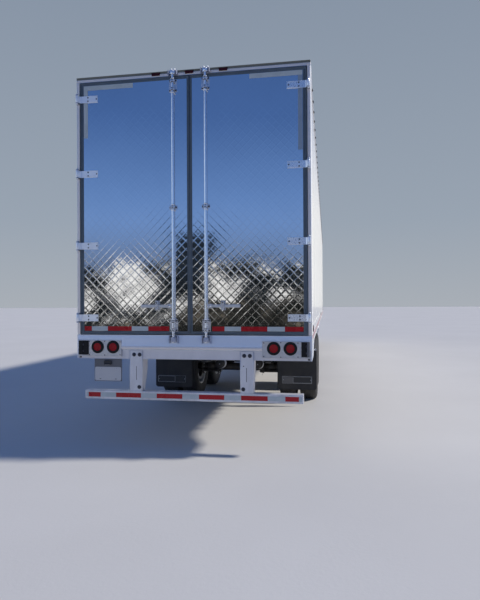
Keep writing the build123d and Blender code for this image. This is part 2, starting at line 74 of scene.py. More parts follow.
def new_mat(name):
    mt = bpy.data.materials.new(name)
    mt.use_nodes = True
    nt = mt.node_tree
    nt.nodes.clear()
    out = nt.nodes.new("ShaderNodeOutputMaterial")
    b = nt.nodes.new("ShaderNodeBsdfPrincipled")
    nt.links.new(b.outputs[0], out.inputs[0])
    return mt, nt, b


def node(nt, kind, ins=None, **props):
    n = nt.nodes.new(kind)
    for k, v in props.items():
        setattr(n, k, v)
    for k, v in (ins or {}).items():
        if isinstance(v, bpy.types.NodeSocket):
            nt.links.new(v, n.inputs[k])
        else:
            n.inputs[k].default_value = v
    return n


def coords(nt, scale=(1, 1, 1)):
    tc = node(nt, "ShaderNodeTexCoord")
    return node(nt, "ShaderNodeMapping", {"Vector": tc.outputs["Object"], "Scale": scale}).outputs[0]


def noise(nt, vec, scale, detail=4.0, rough=0.55, dist=0.0):
    return node(nt, "ShaderNodeTexNoise", {"Vector": vec, "Scale": scale, "Detail": detail, "Roughness": rough,
                                           "Distortion": dist}).outputs["Fac"]


def ramp(nt, fac, stops, interp="LINEAR"):
    n = node(nt, "ShaderNodeValToRGB", {"Fac": fac})
    n.color_ramp.interpolation = interp
    els = n.color_ramp.elements
    while len(els) < len(stops):
        els.new(0.5)
    for e, (p, c) in zip(els, stops):
        e.position = p
        e.color = c if isinstance(c, tuple) else (c, c, c, 1)
    return n.outputs[0]


def mix(nt, fac, a, b):
    n = node(nt, "ShaderNodeMix", data_type="RGBA")
    for k, v in (("Factor", fac), ("A", a), ("B", b)):
        sock = [s for s in n.inputs if s.name == k and (s.type == "VALUE" if k == "Factor" else s.type == "RGBA")][0]
        if isinstance(v, bpy.types.NodeSocket):
            nt.links.new(v, sock)
        else:
            sock.default_value = v
    return [s for s in n.outputs if s.type == "RGBA"][0]


def mapr(nt, v, a, b, c, d):
    return node(nt, "ShaderNodeMapRange", {"Value": v, "From Min": a, "From Max": b, "To Min": c, "To Max": d}).outputs[0]


def bump(nt, height, strength, dist, normal=None):
    ins = {"Height": height, "Strength": strength, "Distance": dist}
    if normal is not None:
        ins["Normal"] = normal
    return node(nt, "ShaderNodeBump", ins).outputs[0]


def rgb(c, k=1.0):
    return (c[0] * k, c[1] * k, c[2] * k, 1.0)


def surface(name, base, rough=(0.3, 0.45), metal=0.0, var=0.06, scale=3.0, grain=(1, 1, 1), grain_scale=40.0,
            grain_bump=0.0, wave=0.0, wave_scale=1.2, dirt=0.0, dirt_z=(0.0, 1.0), dirt_col=(0.20, 0.17, 0.13),
            coat=0.0, spangle=0.0, edge=0.0, spec=None):
    """A finish: base colour that drifts a little, roughness from noise, grain or waviness in the normal, dust that
    thickens towards the ground, and edges rubbed bright."""
    mt, nt, b = new_mat(name)
    vec = coords(nt)
    big = noise(nt, vec, scale, 5.0, 0.6)
    col = mix(nt, big, rgb(base, 1 - var), rgb(base, 1 + var))
    fine = noise(nt, coords(nt, grain), grain_scale, 4.0, 0.6)
    rsrc = fine if spangle == 0 else None
    if spangle:
        v = node(nt, "ShaderNodeTexVoronoi", {"Vector": vec, "Scale": spangle}, feature="F1")
        sep = node(nt, "ShaderNodeSeparateColor", {"Color": v.outputs["Color"]}).outputs[0]
        col = mix(nt, mapr(nt, sep, 0, 1, 0, 0.35), col, rgb(base, 0.78))
        rsrc = sep
    rr = mapr(nt, rsrc, 0.25, 0.75, rough[0], rough[1])
    if edge:
        pt = node(nt, "ShaderNodeNewGeometry").outputs["Pointiness"]
        wear = node(nt, "ShaderNodeMath", {0: mapr(nt, pt, 0.52, 0.62, 0, 1), 1: big}, operation="MULTIPLY", use_clamp=True).outputs[0]
        col = mix(nt, mapr(nt, wear, 0, 1, 0, edge), col, rgb((0.55, 0.54, 0.52)))
    if dirt:
        z = node(nt, "ShaderNodeSeparateXYZ", {"Vector": node(nt, "ShaderNodeTexCoord").outputs["Object"]}).outputs[2]
        low = mapr(nt, z, dirt_z[0], dirt_z[1], 1.0, 0.12)
        spots = mapr(nt, noise(nt, coords(nt, (1, 1, 0.35)), 5.0, 8.0, 0.7), 0.42, 0.75, 0.0, 1.0)
        d = node(nt, "ShaderNodeMath", {0: low, 1: spots}, operation="MULTIPLY", use_clamp=True).outputs[0]
        d = node(nt, "ShaderNodeMath", {0: d, 1: dirt}, operation="MULTIPLY", use_clamp=True).outputs[0]
        col = mix(nt, d, col, rgb(dirt_col))
        rr = mix(nt, d, rr, (0.85, 0.85, 0.85, 1))
    nt.links.new(col, b.inputs["Base Color"])
    nt.links.new(rr, b.inputs["Roughness"])
    b.inputs["Metallic"].default_value = metal
    if coat:
        b.inputs["Coat Weight"].default_value = coat
        b.inputs["Coat Roughness"].default_value = 0.08
    if spec is not None:
        b.inputs["Specular IOR Level"].default_value = spec
    nrm = None
    if wave:
        nrm = bump(nt, noise(nt, vec, wave_scale, 2.0, 0.4), 1.0, wave)
    if grain_bump:
        nrm = bump(nt, fine, 0.6, grain_bump, nrm)
    if nrm is not None:
        nt.links.new(nrm, b.inputs["Normal"])
    return mt


M = {}
M["white_panel"] = surface("white_panel", (0.69, 0.69, 0.675), (0.18, 0.26), 0.0, 0.02, 0.6, grain_scale=90,
                           grain_bump=0.00003, wave=0.0010, wave_scale=1.1, dirt=0.22, dirt_z=(1.15, 2.0), coat=0.3)
M["liner"] = surface("liner", (0.80, 0.80, 0.78), (0.3, 0.5), 0.0, 0.03, 0.8, grain_scale=140, grain_bump=0.0006,
                     dirt=0.5, dirt_z=(1.3, 2.2))
M["stainless"] = surface("stainless", (0.74, 0.75, 0.77), (0.020, 0.045), 1.0, 0.065, 1.7, grain=(1, 1, 0.2), grain_scale=60,
                         grain_bump=0.00001, dirt=0.06, dirt_z=(1.25, 1.9))
M["bearing_plate"] = surface("bearing_plate", (0.66, 0.68, 0.72), (0.18, 0.30), 0.75, 0.06, 20, grain_scale=120,
                             grain_bump=0.0001)
M["aluminium"] = surface("aluminium", (0.66, 0.66, 0.665), (0.30, 0.44), 1.0, 0.05, 1.5, grain=(1, 0.03, 1), grain_scale=240,
                         grain_bump=0.00008, dirt=0.30, dirt_z=(1.1, 2.2))
M["rear_frame"] = surface("rear_frame", (0.62, 0.65, 0.69), (0.30, 0.40), 0.90, 0.04, 2.5, grain=(1, 1, 0.05), grain_scale=200,
                          grain_bump=0.00006, dirt=0.12, dirt_z=(1.2, 2.6))
M["galvanised"] = surface("galvanised", (0.56, 0.57, 0.60), (0.30, 0.52), 0.9, 0.05, 4, spangle=48, dirt=0.30, dirt_z=(0.2, 1.3))
M["bright_zinc"] = surface("bright_zinc", (0.84, 0.87, 0.92), (0.26, 0.30), 0.80, 0.04, 9, grain_scale=160)
M["rod_steel"] = surface("rod_steel", (0.88, 0.90, 0.93), (0.15, 0.19), 0.88, 0.04, 8, grain=(1, 1, 0.05), grain_scale=260)
# paler copy of the strap zinc, used on the left door's straps only: painted light, the brighter look of those straps
# put into their colour
M["lit_left_zinc"] = surface("lit_left_zinc", (0.93, 0.95, 0.98), (0.28, 0.34), 0.50, 0.03, 9, grain_scale=160)
M["handle_zinc"] = surface("handle_zinc", (0.60, 0.605, 0.615), (0.30, 0.42), 0.35, 0.05, 14, grain_scale=160, grain_bump=0.00006)
M["low_zinc"] = surface("low_zinc", (0.40, 0.43, 0.53), (0.34, 0.48), 0.30, 0.08, 14, grain_scale=160, grain_bump=0.0001,
                        dirt=0.25, dirt_z=(0.9, 1.5))
M["ear_steel"] = surface("ear_steel", (0.42, 0.45, 0.52), (0.30, 0.45), 0.80, 0.08, 14, grain_scale=140, grain_bump=0.0002,
                         dirt=0.10, dirt_z=(1.2, 2.4))
M["roof_sheet"] = surface("roof_sheet", (0.62, 0.62, 0.61), (0.50, 0.66), 0.35, 0.05, 0.9, grain=(1, 0.03, 1), grain_scale=200,
                          grain_bump=0.0001, wave=0.004, wave_scale=1.4)
M["post_side"] = surface("post_side", (0.90, 0.90, 0.88), (0.38, 0.52), 0.0, 0.03, 1.5, grain=(1, 1, 0.05), grain_scale=200,
                         grain_bump=0.00006, dirt=0.15, dirt_z=(1.2, 2.2))
M["stud_zinc"] = surface("stud_zinc", (0.90, 0.90, 0.89), (0.40, 0.52), 0.10, 0.03, 20, grain_scale=200, grain_bump=0.00005)
M["lamp_rubber"] = surface("lamp_rubber", (0.009, 0.009, 0.010), (0.50, 0.72), 0.0, 0.25, 9, grain_scale=150, grain_bump=0.0004, spec=0.25)
# sill paint: a pale paint whose base is tinted blue-lavender as a painted reflection of the sky
M["frame_paint"] = surface("frame_paint", (0.72, 0.78, 0.89), (0.22, 0.26), 0.42, 0.03, 2.2, grain_scale=60,
                           dirt=0.08, dirt_z=(0.9, 1.35), coat=0.25, wave=0.0008, wave_scale=2.0)
# greyer copy of the sill paint for the lower band below the step: painted light, the band's different lighting put into
# its colour
M["lower_paint"] = surface("lower_paint", (0.66, 0.65, 0.68), (0.30, 0.48), 0.2, 0.05, 3.0, grain_scale=120, grain_bump=0.0003,
                           dirt=0.30, dirt_z=(0.9, 1.15), coat=0.1)
M["guard_paint"] = surface("guard_paint", (0.70, 0.70, 0.74), (0.26, 0.42), 0.18, 0.05, 3.0, grain_scale=120, grain_bump=0.0001,
                           dirt=0.60, dirt_z=(0.4, 1.15), edge=0.3)
# seal rubber: grey rubber tinted blue as a painted reflection of the sky
M["rubber_seal"] = surface("rubber_seal", (0.105, 0.138, 0.170), (0.24, 0.38), 0.0, 0.2, 8, grain=(1, 1, 0.1), grain_scale=120,
                           grain_bump=0.0003, dirt=0.10, dirt_z=(1.2, 2.0))
M["black_rubber"] = surface("black_rubber", (0.016, 0.016, 0.018), (0.45, 0.7), 0.0, 0.25, 6, grain_scale=130, grain_bump=0.0006,
                            dirt=0.45, dirt_z=(0.1, 1.1), dirt_col=(0.12, 0.105, 0.085))
M["black_steel"] = surface("black_steel", (0.022, 0.022, 0.024), (0.32, 0.55), 0.0, 0.25, 5, grain_scale=110, grain_bump=0.0005,
                           dirt=0.75, dirt_z=(0.3, 1.25), dirt_col=(0.13, 0.11, 0.09), edge=0.35)
M["tyre"] = surface("tyre", (0.020, 0.020, 0.021), (0.55, 0.8), 0.0, 0.25, 6, grain_scale=150, grain_bump=0.0006, dirt=0.75,
                    dirt_z=(-0.2, 0.9), dirt_col=(0.14, 0.12, 0.095))
M["wheel"] = surface("wheel", (0.72, 0.72, 0.70), (0.30, 0.48), 0.0, 0.05, 5, grain_scale=90, grain_bump=0.0003, dirt=0.7,
                     dirt_z=(0.1, 0.9), dirt_col=(0.17, 0.13, 0.10), coat=0.15, edge=0.4)
M["hub_grey"] = surface("hub_grey", (0.34, 0.34, 0.35), (0.35, 0.55), 0.85, 0.12, 14, grain_scale=120, grain_bump=0.0005,
                        dirt=0.5, dirt_z=(0.2, 0.9), dirt_col=(0.15, 0.10, 0.07))
M["unit_cover"] = surface("unit_cover", (0.84, 0.84, 0.82), (0.20, 0.34), 0.0, 0.02, 1.5, grain_scale=120, grain_bump=0.0002,
                          wave=0.002, wave_scale=2.0, dirt=0.35, dirt_z=(1.7, 2.8), coat=0.2)
M["dark_plastic"] = surface("dark_plastic", (0.025, 0.026, 0.028), (0.35, 0.55), 0.0, 0.15, 10, grain_scale=160, grain_bump=0.0005)
# blank plate grey, darkened as painted shade for its place under the sill
M["plate"] = surface("plate", (0.50, 0.50, 0.515), (0.34, 0.46), 0.0, 0.04, 30, grain_scale=220, grain_bump=0.0001)
M["fastener"] = surface("fastener", (0.62, 0.63, 0.66), (0.25, 0.42), 1.0, 0.12, 60, grain_scale=300, grain_bump=0.0002)
M["dark_fastener"] = surface("dark_fastener", (0.035, 0.036, 0.05), (0.35, 0.55), 0.2, 0.2, 60, grain_scale=300, grain_bump=0.0002)
M["t_floor"] = surface("t_floor", (0.52, 0.52, 0.53), (0.32, 0.5), 1.0, 0.08, 2.0, grain=(1, 0.02, 1), grain_scale=300,
                       grain_bump=0.0002, dirt=0.5, dirt_z=(1.25, 1.6))
M["brass"] = surface("brass", (0.62, 0.45, 0.20), (0.28, 0.45), 1.0, 0.1, 20, grain_scale=120, grain_bump=0.0002)
M["coupling_red"] = surface("coupling_red", (0.50, 0.03, 0.03), (0.3, 0.5), 0.1, 0.1, 20, grain_scale=120, grain_bump=0.0002, coat=0.2)
M["coupling_blue"] = surface("coupling_blue", (0.03, 0.09, 0.40), (0.3, 0.5), 0.1, 0.1, 20, grain_scale=120, grain_bump=0.0002, coat=0.2)


def tape(name, c):
    """Prismatic reflective sheeting: small cells under a clear face."""
    mt, nt, b = new_mat(name)
    vec = coords(nt)
    v = node(nt, "ShaderNodeTexVoronoi", {"Vector": vec, "Scale": 260.0, "Randomness": 0.25}, feature="DISTANCE_TO_EDGE")
    line = mapr(nt, v.outputs["Distance"], 0.0, 0.12, 0.75, 1.0)
    big = noise(nt, vec, 6.0, 5.0, 0.6)
    col = mix(nt, big, rgb(c, 0.86), rgb(c, 1.10))
    dark = mix(nt, line, rgb(c, 0.45), col)
    nt.links.new(dark, b.inputs["Base Color"])
    nt.links.new(mapr(nt, big, 0.3, 0.7, 0.22, 0.36), b.inputs["Roughness"])
    b.inputs["Coat Weight"].default_value = 0.15
    b.inputs["Coat Roughness"].default_value = 0.08
    b.inputs["Specular IOR Level"].default_value = 0.25
    nt.links.new(bump(nt, v.outputs["Distance"], 0.25, 0.0002), b.inputs["Normal"])
    return mt


M["red_tape"] = tape("red_tape", (0.42, 0.008, 0.015))
M["white_tape"] = tape("white_tape", (0.50, 0.55, 0.56))
# darker, bluish copy of the white tape for the right door's corner leg: painted shade
M["corner_tape"] = tape("corner_tape", (0.27, 0.34, 0.43))


def lens(name, c):
    mt, nt, b = new_mat(name)
    vec = coords(nt)
    big = noise(nt, vec, 25.0, 3.0, 0.5)
    nt.links.new(mix(nt, big, rgb(c, 0.8), rgb(c, 1.15)), b.inputs["Base Color"])
    nt.links.new(mapr(nt, big, 0.3, 0.7, 0.10, 0.20), b.inputs["Roughness"])
    b.inputs["Coat Weight"].default_value = 0.12
    b.inputs["Coat Roughness"].default_value = 0.04
    b.inputs["Specular IOR Level"].default_value = 0.22
    return mt


# dark alloy tone: painted shade under the header's rain lip, on the header's top band and on the posts' turned-in
# edges. Pale pinkish alloy: painted highlight of ground light on the header moulding, the posts' edge strips and the
# sill ledge
M["shade_alloy"] = surface("shade_alloy", (0.20, 0.205, 0.175), (0.35, 0.5), 0.35, 0.10, 6, grain=(0.05, 1, 1), grain_scale=220, grain_bump=0.0001)
M["pale_highlight_alloy"] = surface("pale_highlight_alloy", (0.80, 0.74, 0.71), (0.36, 0.48), 0.50, 0.05, 4, grain=(0.05, 1, 1), grain_scale=220,
                            grain_bump=0.0001, dirt=0.15, dirt_z=(1.2, 4.5))
M["holder_grey"] = surface("holder_grey", (0.125, 0.13, 0.145), (0.4, 0.6), 0.3, 0.12, 9, grain_scale=140, grain_bump=0.0004, dirt=0.3, dirt_z=(0.6, 1.1))
M["flap_grey"] = surface("flap_grey", (0.13, 0.13, 0.135), (0.35, 0.5), 0.3, 0.10, 14, grain_scale=200, grain_bump=0.0002, dirt=0.3, dirt_z=(0.2, 0.6))
M["flap_line"] = surface("flap_line", (0.42, 0.43, 0.44), (0.3, 0.45), 0.4, 0.10, 14, grain_scale=200, grain_bump=0.0002)

M["red_lens"] = lens("red_lens", (0.34, 0.006, 0.012))
M["marker_lens"] = lens("marker_lens", (0.045, 0.003, 0.004))
M["amber_lens"] = lens("amber_lens", (0.62, 0.20, 0.01))
M["clear_lens"] = lens("clear_lens", (0.62, 0.64, 0.66))

# ---------------------------------------------------------------------------
# Mesh helper: collects simple shapes into one mesh
# ---------------------------------------------------------------------------


def frame_of(n):
    n = Vector(n).normalized()
    a = Vector((0, 0, 1)) if abs(n.z) < 0.9 else Vector((1, 0, 0))
    u = n.cross(a).normalized()
    return u, n.cross(u).normalized(), n


class Shape:
    def __init__(self):
        self.v, self.f, self.mi, self.sm = [], [], [], []

    def add(self, verts, faces, mi=0, smooth=False):
        k = len(self.v)
        self.v += [tuple(p) for p in verts]
        self.f += [tuple(i + k for i in f) for f in faces]
        self.mi += [mi] * len(faces)
        self.sm += [smooth] * len(faces)

    def box(self, x0, x1, y0, y1, z0, z1, c=0.0, mi=0):
        """A block, its edges chamfered by c."""
        lo, hi = (min(x0, x1), min(y0, y1), min(z0, z1)), (max(x0, x1), max(y0, y1), max(z0, z1))
        if c <= 0:
            vs = [(x, yy, z) for x in (lo[0], hi[0]) for yy in (lo[1], hi[1]) for z in (lo[2], hi[2])]
            self.add(vs, [(0, 1, 3, 2), (4, 6, 7, 5), (0, 4, 5, 1), (2, 3, 7, 6), (0, 2, 6, 4), (1, 5, 7, 3)], mi)
            return
        bm = bmesh.new()
        bmesh.ops.create_cube(bm, size=1.0)
        for vv in bm.verts:
            vv.co = Vector([(lo[i] + hi[i]) / 2 + vv.co[i] * (hi[i] - lo[i]) for i in range(3)])
        bmesh.ops.bevel(bm, geom=list(bm.edges), offset=c, segments=1, affect="EDGES")
        bm.verts.index_update()
        self.add([vv.co[:] for vv in bm.verts], [[q.index for q in fc.verts] for fc in bm.faces], mi)
        bm.free()

    def lathe(self, p, n, profile, seg=24, mi=0, smooth=True, phase=0.0, start=0.0, turn=2 * math.pi, closed=True):
        """A profile of (distance along n from p, radius) turned about the line through p along n."""
        u, w, n = frame_of(n)
        p = Vector(p)
        full = turn >= 2 * math.pi - 1e-6
        cols = seg if full else seg + 1
        vs, idx = [], []
        for s, r in profile:
            if r <= 1e-6:
                idx.append([len(vs)] * cols)
                vs.append(p + n * s)
            else:
                row = []
                for k in range(cols):
                    a = start + phase + turn * k / seg
                    row.append(len(vs))
                    vs.append(p + n * s + (u * math.cos(a) + w * math.sin(a)) * r)
                idx.append(row)
        fs = []
        for a, b in zip(idx, idx[1:]):
            for k in range(seg):
                k2 = (k + 1) % cols
                q = [a[k], a[k2], b[k2], b[k]]
                q = [q[i] for i in range(4) if q[i] != q[i - 1]]
                if len(q) >= 3:
                    fs.append(q)
        self.add(vs, fs, mi, smooth)

    def cyl(self, p, n, r, h, seg=20, c=0.0, mi=0, smooth=True):
        """A round bar from p along n, both ends closed."""
        c = min(c, r * 0.5, h * 0.45)
        self.lathe(p, n, [(0, 0), (0, r - c)] + ([(c, r), (h - c, r)] if c else [(0, r), (h, r)]) + [(h, r - c), (h, 0)], seg, mi, smooth)

    def hexhead(self, p, n, r, h, mi=0, washer=1.35):
        """A hexagon bolt head on a washer."""
        if washer:
            self.lathe(p, n, [(0, r * washer), (h * 0.22, r * washer), (h * 0.22, 0)], 14, mi)
        self.lathe(Vector(p) + Vector(n).normalized() * h * 0.2, n, [(0, r), (h * 0.75, r), (h * 0.9, r * 0.86), (h * 0.9, 0)], 6, mi, False,
                   phase=rng.random())

    def rivet(self, p, n, r, h=None, seg=8, mi=0):
        h = h or r * 0.55
        self.lathe(p, n, [(0, r), (h * 0.6, r * 0.8), (h, r * 0.35), (h, 0)], seg, mi)

    def tube(self, pts, r, seg=10, mi=0, closed=False):
        """A round tube that follows points."""
        pts = [Vector(p) for p in pts]
        n = len(pts)
        tang = []
        for i in range(n):
            a = pts[(i - 1) % n] if closed or i else pts[0]
            b = pts[(i + 1) % n] if closed or i < n - 1 else pts[-1]
            tang.append((b - a).normalized())
        u = frame_of(tang[0])[0]
        vs = []
        for i in range(n):
            u = (u - tang[i] * u.dot(tang[i])).normalized()
            w = tang[i].cross(u)
            vs += [pts[i] + (u * math.cos(2 * math.pi * k / seg) + w * math.sin(2 * math.pi * k / seg)) * r for k in range(seg)]
        fs = []
        for i in range(n if closed else n - 1):
            j = (i + 1) % n
            fs += [(i * seg + k, i * seg + (k + 1) % seg, j * seg + (k + 1) % seg, j * seg + k) for k in range(seg)]
        if not closed:
            fs += [tuple(range(seg))[::-1], tuple((n - 1) * seg + k for k in range(seg))]
        self.add(vs, fs, mi, True)

    def prism(self, poly, axis, a0, a1, mi=0):
        """A polygon in the plane across an axis (0 X, 1 Y, 2 Z), pulled from a0 to a1. Points give the other two axes in order."""
        k = len(poly)

        def put(q, a):
            q = list(q)
            q.insert(axis, a)
            return q
        vs = [put(q, a0) for q in poly] + [put(q, a1) for q in poly]
        fs = [tuple(range(k)), tuple(range(2 * k - 1, k - 1, -1))] + [(i, i + k, (i + 1) % k + k, (i + 1) % k) for i in range(k)]
        self.add(vs, fs, mi)

    def make(self, name, mats, body, slot, replaces=()):
        me = bpy.data.meshes.new(name)
        me.from_pydata(self.v, [], self.f)
        me.polygons.foreach_set("material_index", self.mi)
        me.polygons.foreach_set("use_smooth", self.sm)
        for mt in (mats if isinstance(mats, (list, tuple)) else [mats]):
            me.materials.append(mt)
        bm = bmesh.new()
        bm.from_mesh(me)
        bmesh.ops.recalc_face_normals(bm, faces=bm.faces)
        bm.to_mesh(me)
        bm.free()
        ob = bpy.data.objects.new(name, me)
        bpy.context.scene.collection.objects.link(ob)
        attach(ob, body)
        if replaces:
            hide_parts(*replaces)
        return ob


def sharp_by_angle(ob, deg=32):
    """Smooth faces whose edges stay sharp where they turn by more than deg."""
    me = ob.data
    bm = bmesh.new()
    bm.from_mesh(me)
    lim = math.radians(deg)
    for e in bm.edges:
        if len(e.link_faces) == 2:
            e.smooth = e.calc_face_angle(0) < lim
    for f in bm.faces:
        f.smooth = True
    bm.to_mesh(me)
    bm.free()


SIDES = (("left", -1), ("right", 1))

# ---------------------------------------------------------------------------
# CAD nodes: finishes
# ---------------------------------------------------------------------------
FINISH = {
    "left_wall": "white_panel", "right_wall": "white_panel", "front_wall": "white_panel", "roof": "roof_sheet",
    "top_rails": "aluminium", "bottom_rails": "white_panel", "floor": "t_floor", "rear_posts": "rear_frame",
    "rear_header": "rear_frame", "rear_sill": "frame_paint", "rear_guard": "guard_paint", "hinge_butts": "ear_steel",
    # the left straps take a paler copy of the zinc as painted light
    "rod_keepers": "low_zinc", "left_hinge_straps": "lit_left_zinc", "lamp_plates": "galvanised", "dock_bumpers": "black_rubber", "licence_plate": "plate",
    "crossmembers": "galvanised", "slide_rails": "black_steel", "upper_coupler": "galvanised", "kingpin": "hub_grey",
    "landing_legs": "galvanised", "landing_braces": "galvanised", "landing_crank": "galvanised", "fuel_tank": "aluminium",
    "fuel_tank_straps": "galvanised", "refrigeration_unit": "unit_cover", "gladhand_box": "galvanised",
    "bogie_frame": "black_steel", "trailing_arms": "black_steel", "air_springs": "black_rubber",
    "shock_absorbers": "black_steel", "axles": "black_steel", "brake_chambers": "black_steel", "air_tank": "black_steel",
    "mudflaps": "black_rubber", "marker_lamps": "marker_lens", "tail_lamps": "red_lens",
}
for nm, ob in NODES.items():
    if nm in FINISH:
        key = FINISH[nm]
    elif nm.endswith("_tyres"):
        key = "tyre"
    elif nm.endswith("_wheel"):
        key = "wheel"
    elif nm.endswith("door_panel"):
        key = "stainless"
    elif nm.endswith("door_seal"):
        key = "rubber_seal"
    elif nm.endswith("lock_rod"):
        key = "rod_steel"
    elif nm.endswith("rod_brackets"):
        key = "bearing_plate"
    else:
        key = "bright_zinc"
    if ob.material_slots:
        for s in ob.material_slots:
            s.material = M[key]
    else:
        ob.data.materials.append(M[key])

# ---------------------------------------------------------------------------
# Door skins: stainless sheet pressed with a diamond quilt
# ---------------------------------------------------------------------------
PITCH = 0.0889                   # a diamond, corner to corner
SKIN_Y = -0.0015
STEPS = (0.0, 0.024, 0.052, 0.20, 0.5, 0.80, 0.948, 0.976)
RIDGE = {0.0: 1.0, 0.024: 0.5, 0.052: 0.0, 0.20: 0.0, 0.5: 0.0, 0.80: 0.0, 0.948: 0.0, 0.976: 0.5}


def quilt(side, s):
    x0, x1, z0, z1 = 0.030, 1.211, 1.299, 4.019
    r = np.random.default_rng(5 if s < 0 else 8)
    na0, na1 = math.floor((x0 + z0) / PITCH) - 1, math.ceil((x1 + z1) / PITCH) + 1
    nb0, nb1 = math.floor((x0 - z1) / PITCH) - 1, math.ceil((x1 - z0) / PITCH) + 1
    st = np.array(STEPS)
    A = (np.arange(na0, na1)[:, None] + st[None, :]).ravel()
    B = (np.arange(nb0, nb1)[:, None] + st[None, :]).ravel()
    ra = np.array([RIDGE[t] for _ in range(na0, na1) for t in STEPS])
    rb = np.array([RIDGE[t] for _ in range(nb0, nb1) for t in STEPS])
    a, b = np.meshgrid(A, B, indexing="ij")
    ha, hb = np.meshgrid(ra, rb, indexing="ij")
    x, z = (a + b) * PITCH / 2, (a - b) * PITCH / 2
    ta, tb = a - np.floor(a), b - np.floor(b)
    ia, ib = (np.floor(a) - na0).astype(int), (np.floor(b) - nb0).astype(int)
    tilt = r.normal(0, 1, (2, na1 - na0 + 1, nb1 - nb0 + 1))
    win = np.sin(np.pi * ta) * np.sin(np.pi * tb)
    crown = 0.00006 * np.sqrt(np.clip(win, 0, 1))
    lean = 0.00018 * win * (tilt[0][ia, ib] * (ta - 0.5) + tilt[1][ia, ib] * (tb - 0.5))
    sheet = (0.0009 * np.sin(2.3 * x * s + 1.1 * z + (0 if s < 0 else 2.0)) * np.sin(1.7 * z + 3.0 * x)
             + 0.0004 * np.sin(6.1 * x + 4.3 * z))
    amp = np.clip((z - 1.352) / 0.01, 0, 1)
    amp *= 1 - 0.9 * ((z > 3.966) & (x > 0.634))
    amp *= 1 - 0.9 * ((x > 1.160) & (z > (3.43 if s < 0 else 3.19)))
    h = amp * (0.00014 * np.maximum(ha, hb) + crown + lean) + sheet * 0.5
    keep = (x > x0 - 0.02) & (x < x1 + 0.02) & (z > z0 - 0.02) & (z < z1 + 0.02)
    idx = -np.ones(a.shape, int)
    idx[keep] = np.arange(keep.sum())
    pts = np.stack([s * x[keep], y(SKIN_Y) - h[keep] - 0.0006, z[keep]], 1)
    q = np.stack([idx[:-1, :-1], idx[1:, :-1], idx[1:, 1:], idx[:-1, 1:]], -1).reshape(-1, 4)
    q = q[(q >= 0).all(1)]
    if s > 0:
        q = q[:, ::-1]
    me = bpy.data.meshes.new(side + "_quilt")
    me.from_pydata(pts.tolist(), [], q.tolist())
    bm = bmesh.new()
    bm.from_mesh(me)
    lo, hi = (min(s * x0, s * x1), max(s * x0, s * x1))
    for co, no in (((lo, 0, 0), (-1, 0, 0)), ((hi, 0, 0), (1, 0, 0)), ((0, 0, z0), (0, 0, -1)), ((0, 0, z1), (0, 0, 1))):
        bmesh.ops.bisect_plane(bm, geom=list(bm.verts) + list(bm.edges) + list(bm.faces), plane_co=co, plane_no=no,
                               clear_outer=True, dist=1e-5)
    bmesh.ops.recalc_face_normals(bm, faces=bm.faces)
    if sum(f.normal.y for f in list(bm.faces)[:200]) > 0:
        bmesh.ops.reverse_faces(bm, faces=bm.faces)
    for f in bm.faces:
        f.smooth = True
    bm.to_mesh(me)
    bm.free()
    me.materials.append(M["stainless"])
    ob = bpy.data.objects.new(side + "_quilted_skin", me)
    bpy.context.scene.collection.objects.link(ob)
    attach(ob, side + "_door")


for side, s in SIDES:
    quilt(side, s)

# ---------------------------------------------------------------------------
# Reflective tapes
# ---------------------------------------------------------------------------
TY0, TY1 = y(-0.0044), y(-0.0031)
DOOR_TAPE = {                    # X of the red lengths, from the outer edge inwards
    "left": ((-1.206, -1.123), (-0.935, -0.659), (-0.470, -0.234)),
    "right": ((1.208, 1.016), (0.831, 0.553), (0.375, 0.243)),
}
for side, s in SIDES:
    red, white = Shape(), Shape()
    edge = s * 1.210
    for a, b in DOOR_TAPE[side]:
        red.box(a, b, TY0, TY1, 1.301, 1.350, 0.0003)
        if abs(edge - a) > 0.01:
            white.box(edge - s * 0.001, a + s * 0.001, TY0, TY1, 1.301, 1.350, 0.0003)
        edge = b
    # pale tapes at the upper outer corner; on the right door the vertical leg takes a darker bluish copy of the tape as
    # painted shade
    xi, zl = (0.637, 3.439) if s < 0 else (0.655, 3.19)
    white.box(s * 1.209, s * xi, y(-0.0040), y(-0.0028), 3.968, 4.017, 0.0003)
    corner = white if s < 0 else Shape()
    corner.box(s * 1.209, s * 1.163, y(-0.0040), y(-0.0028), zl, 3.967, 0.0003)
    if s > 0:
        corner.make(side + "_door_corner_tape", M["corner_tape"], side + "_door", "plate")
    red.make(side + "_door_red_tape", M["red_tape"], side + "_door", "red_lens")
    white.make(side + "_door_white_tape", M["white_tape"], side + "_door", "plate")

GUARD_RED = ((-1.165, -1.023), (-0.844, -0.557), (-0.379, -0.092), (0.092, 0.368), (0.549, 0.832), (1.016, 1.157))
red, white = Shape(), Shape()
last = -1.19
for a, b in GUARD_RED:
    red.box(a, b, y(-0.0012), y(0.0005), 0.572, 0.622, 0.0003)
    white.box(last + 0.001, a - 0.001, y(-0.0012), y(0.0005), 0.572, 0.622, 0.0003)
    last = b
white.box(last + 0.001, 1.19, y(-0.0012), y(0.0005), 0.572, 0.622, 0.0003)
red.make("guard_red_tape", M["red_tape"], "root", "red_lens")
white.make("guard_white_tape", M["white_tape"], "root", "plate")

# along the bottom rails
red, white = Shape(), Shape()
for side, s in SIDES:
    d = 0.26
    while d < 15.9:
        red.box(s * (HALF_W - 0.0005), s * (HALF_W + 0.0010), y(d), y(d + 0.279), 1.205, 1.255, 0.0003)
        white.box(s * (HALF_W - 0.0005), s * (HALF_W + 0.0010), y(d + 0.280), y(d + 0.457), 1.205, 1.255, 0.0003)
        d += 0.458
red.make("side_red_tape", M["red_tape"], "root", "red_lens")
white.make("side_white_tape", M["white_tape"], "root", "plate")

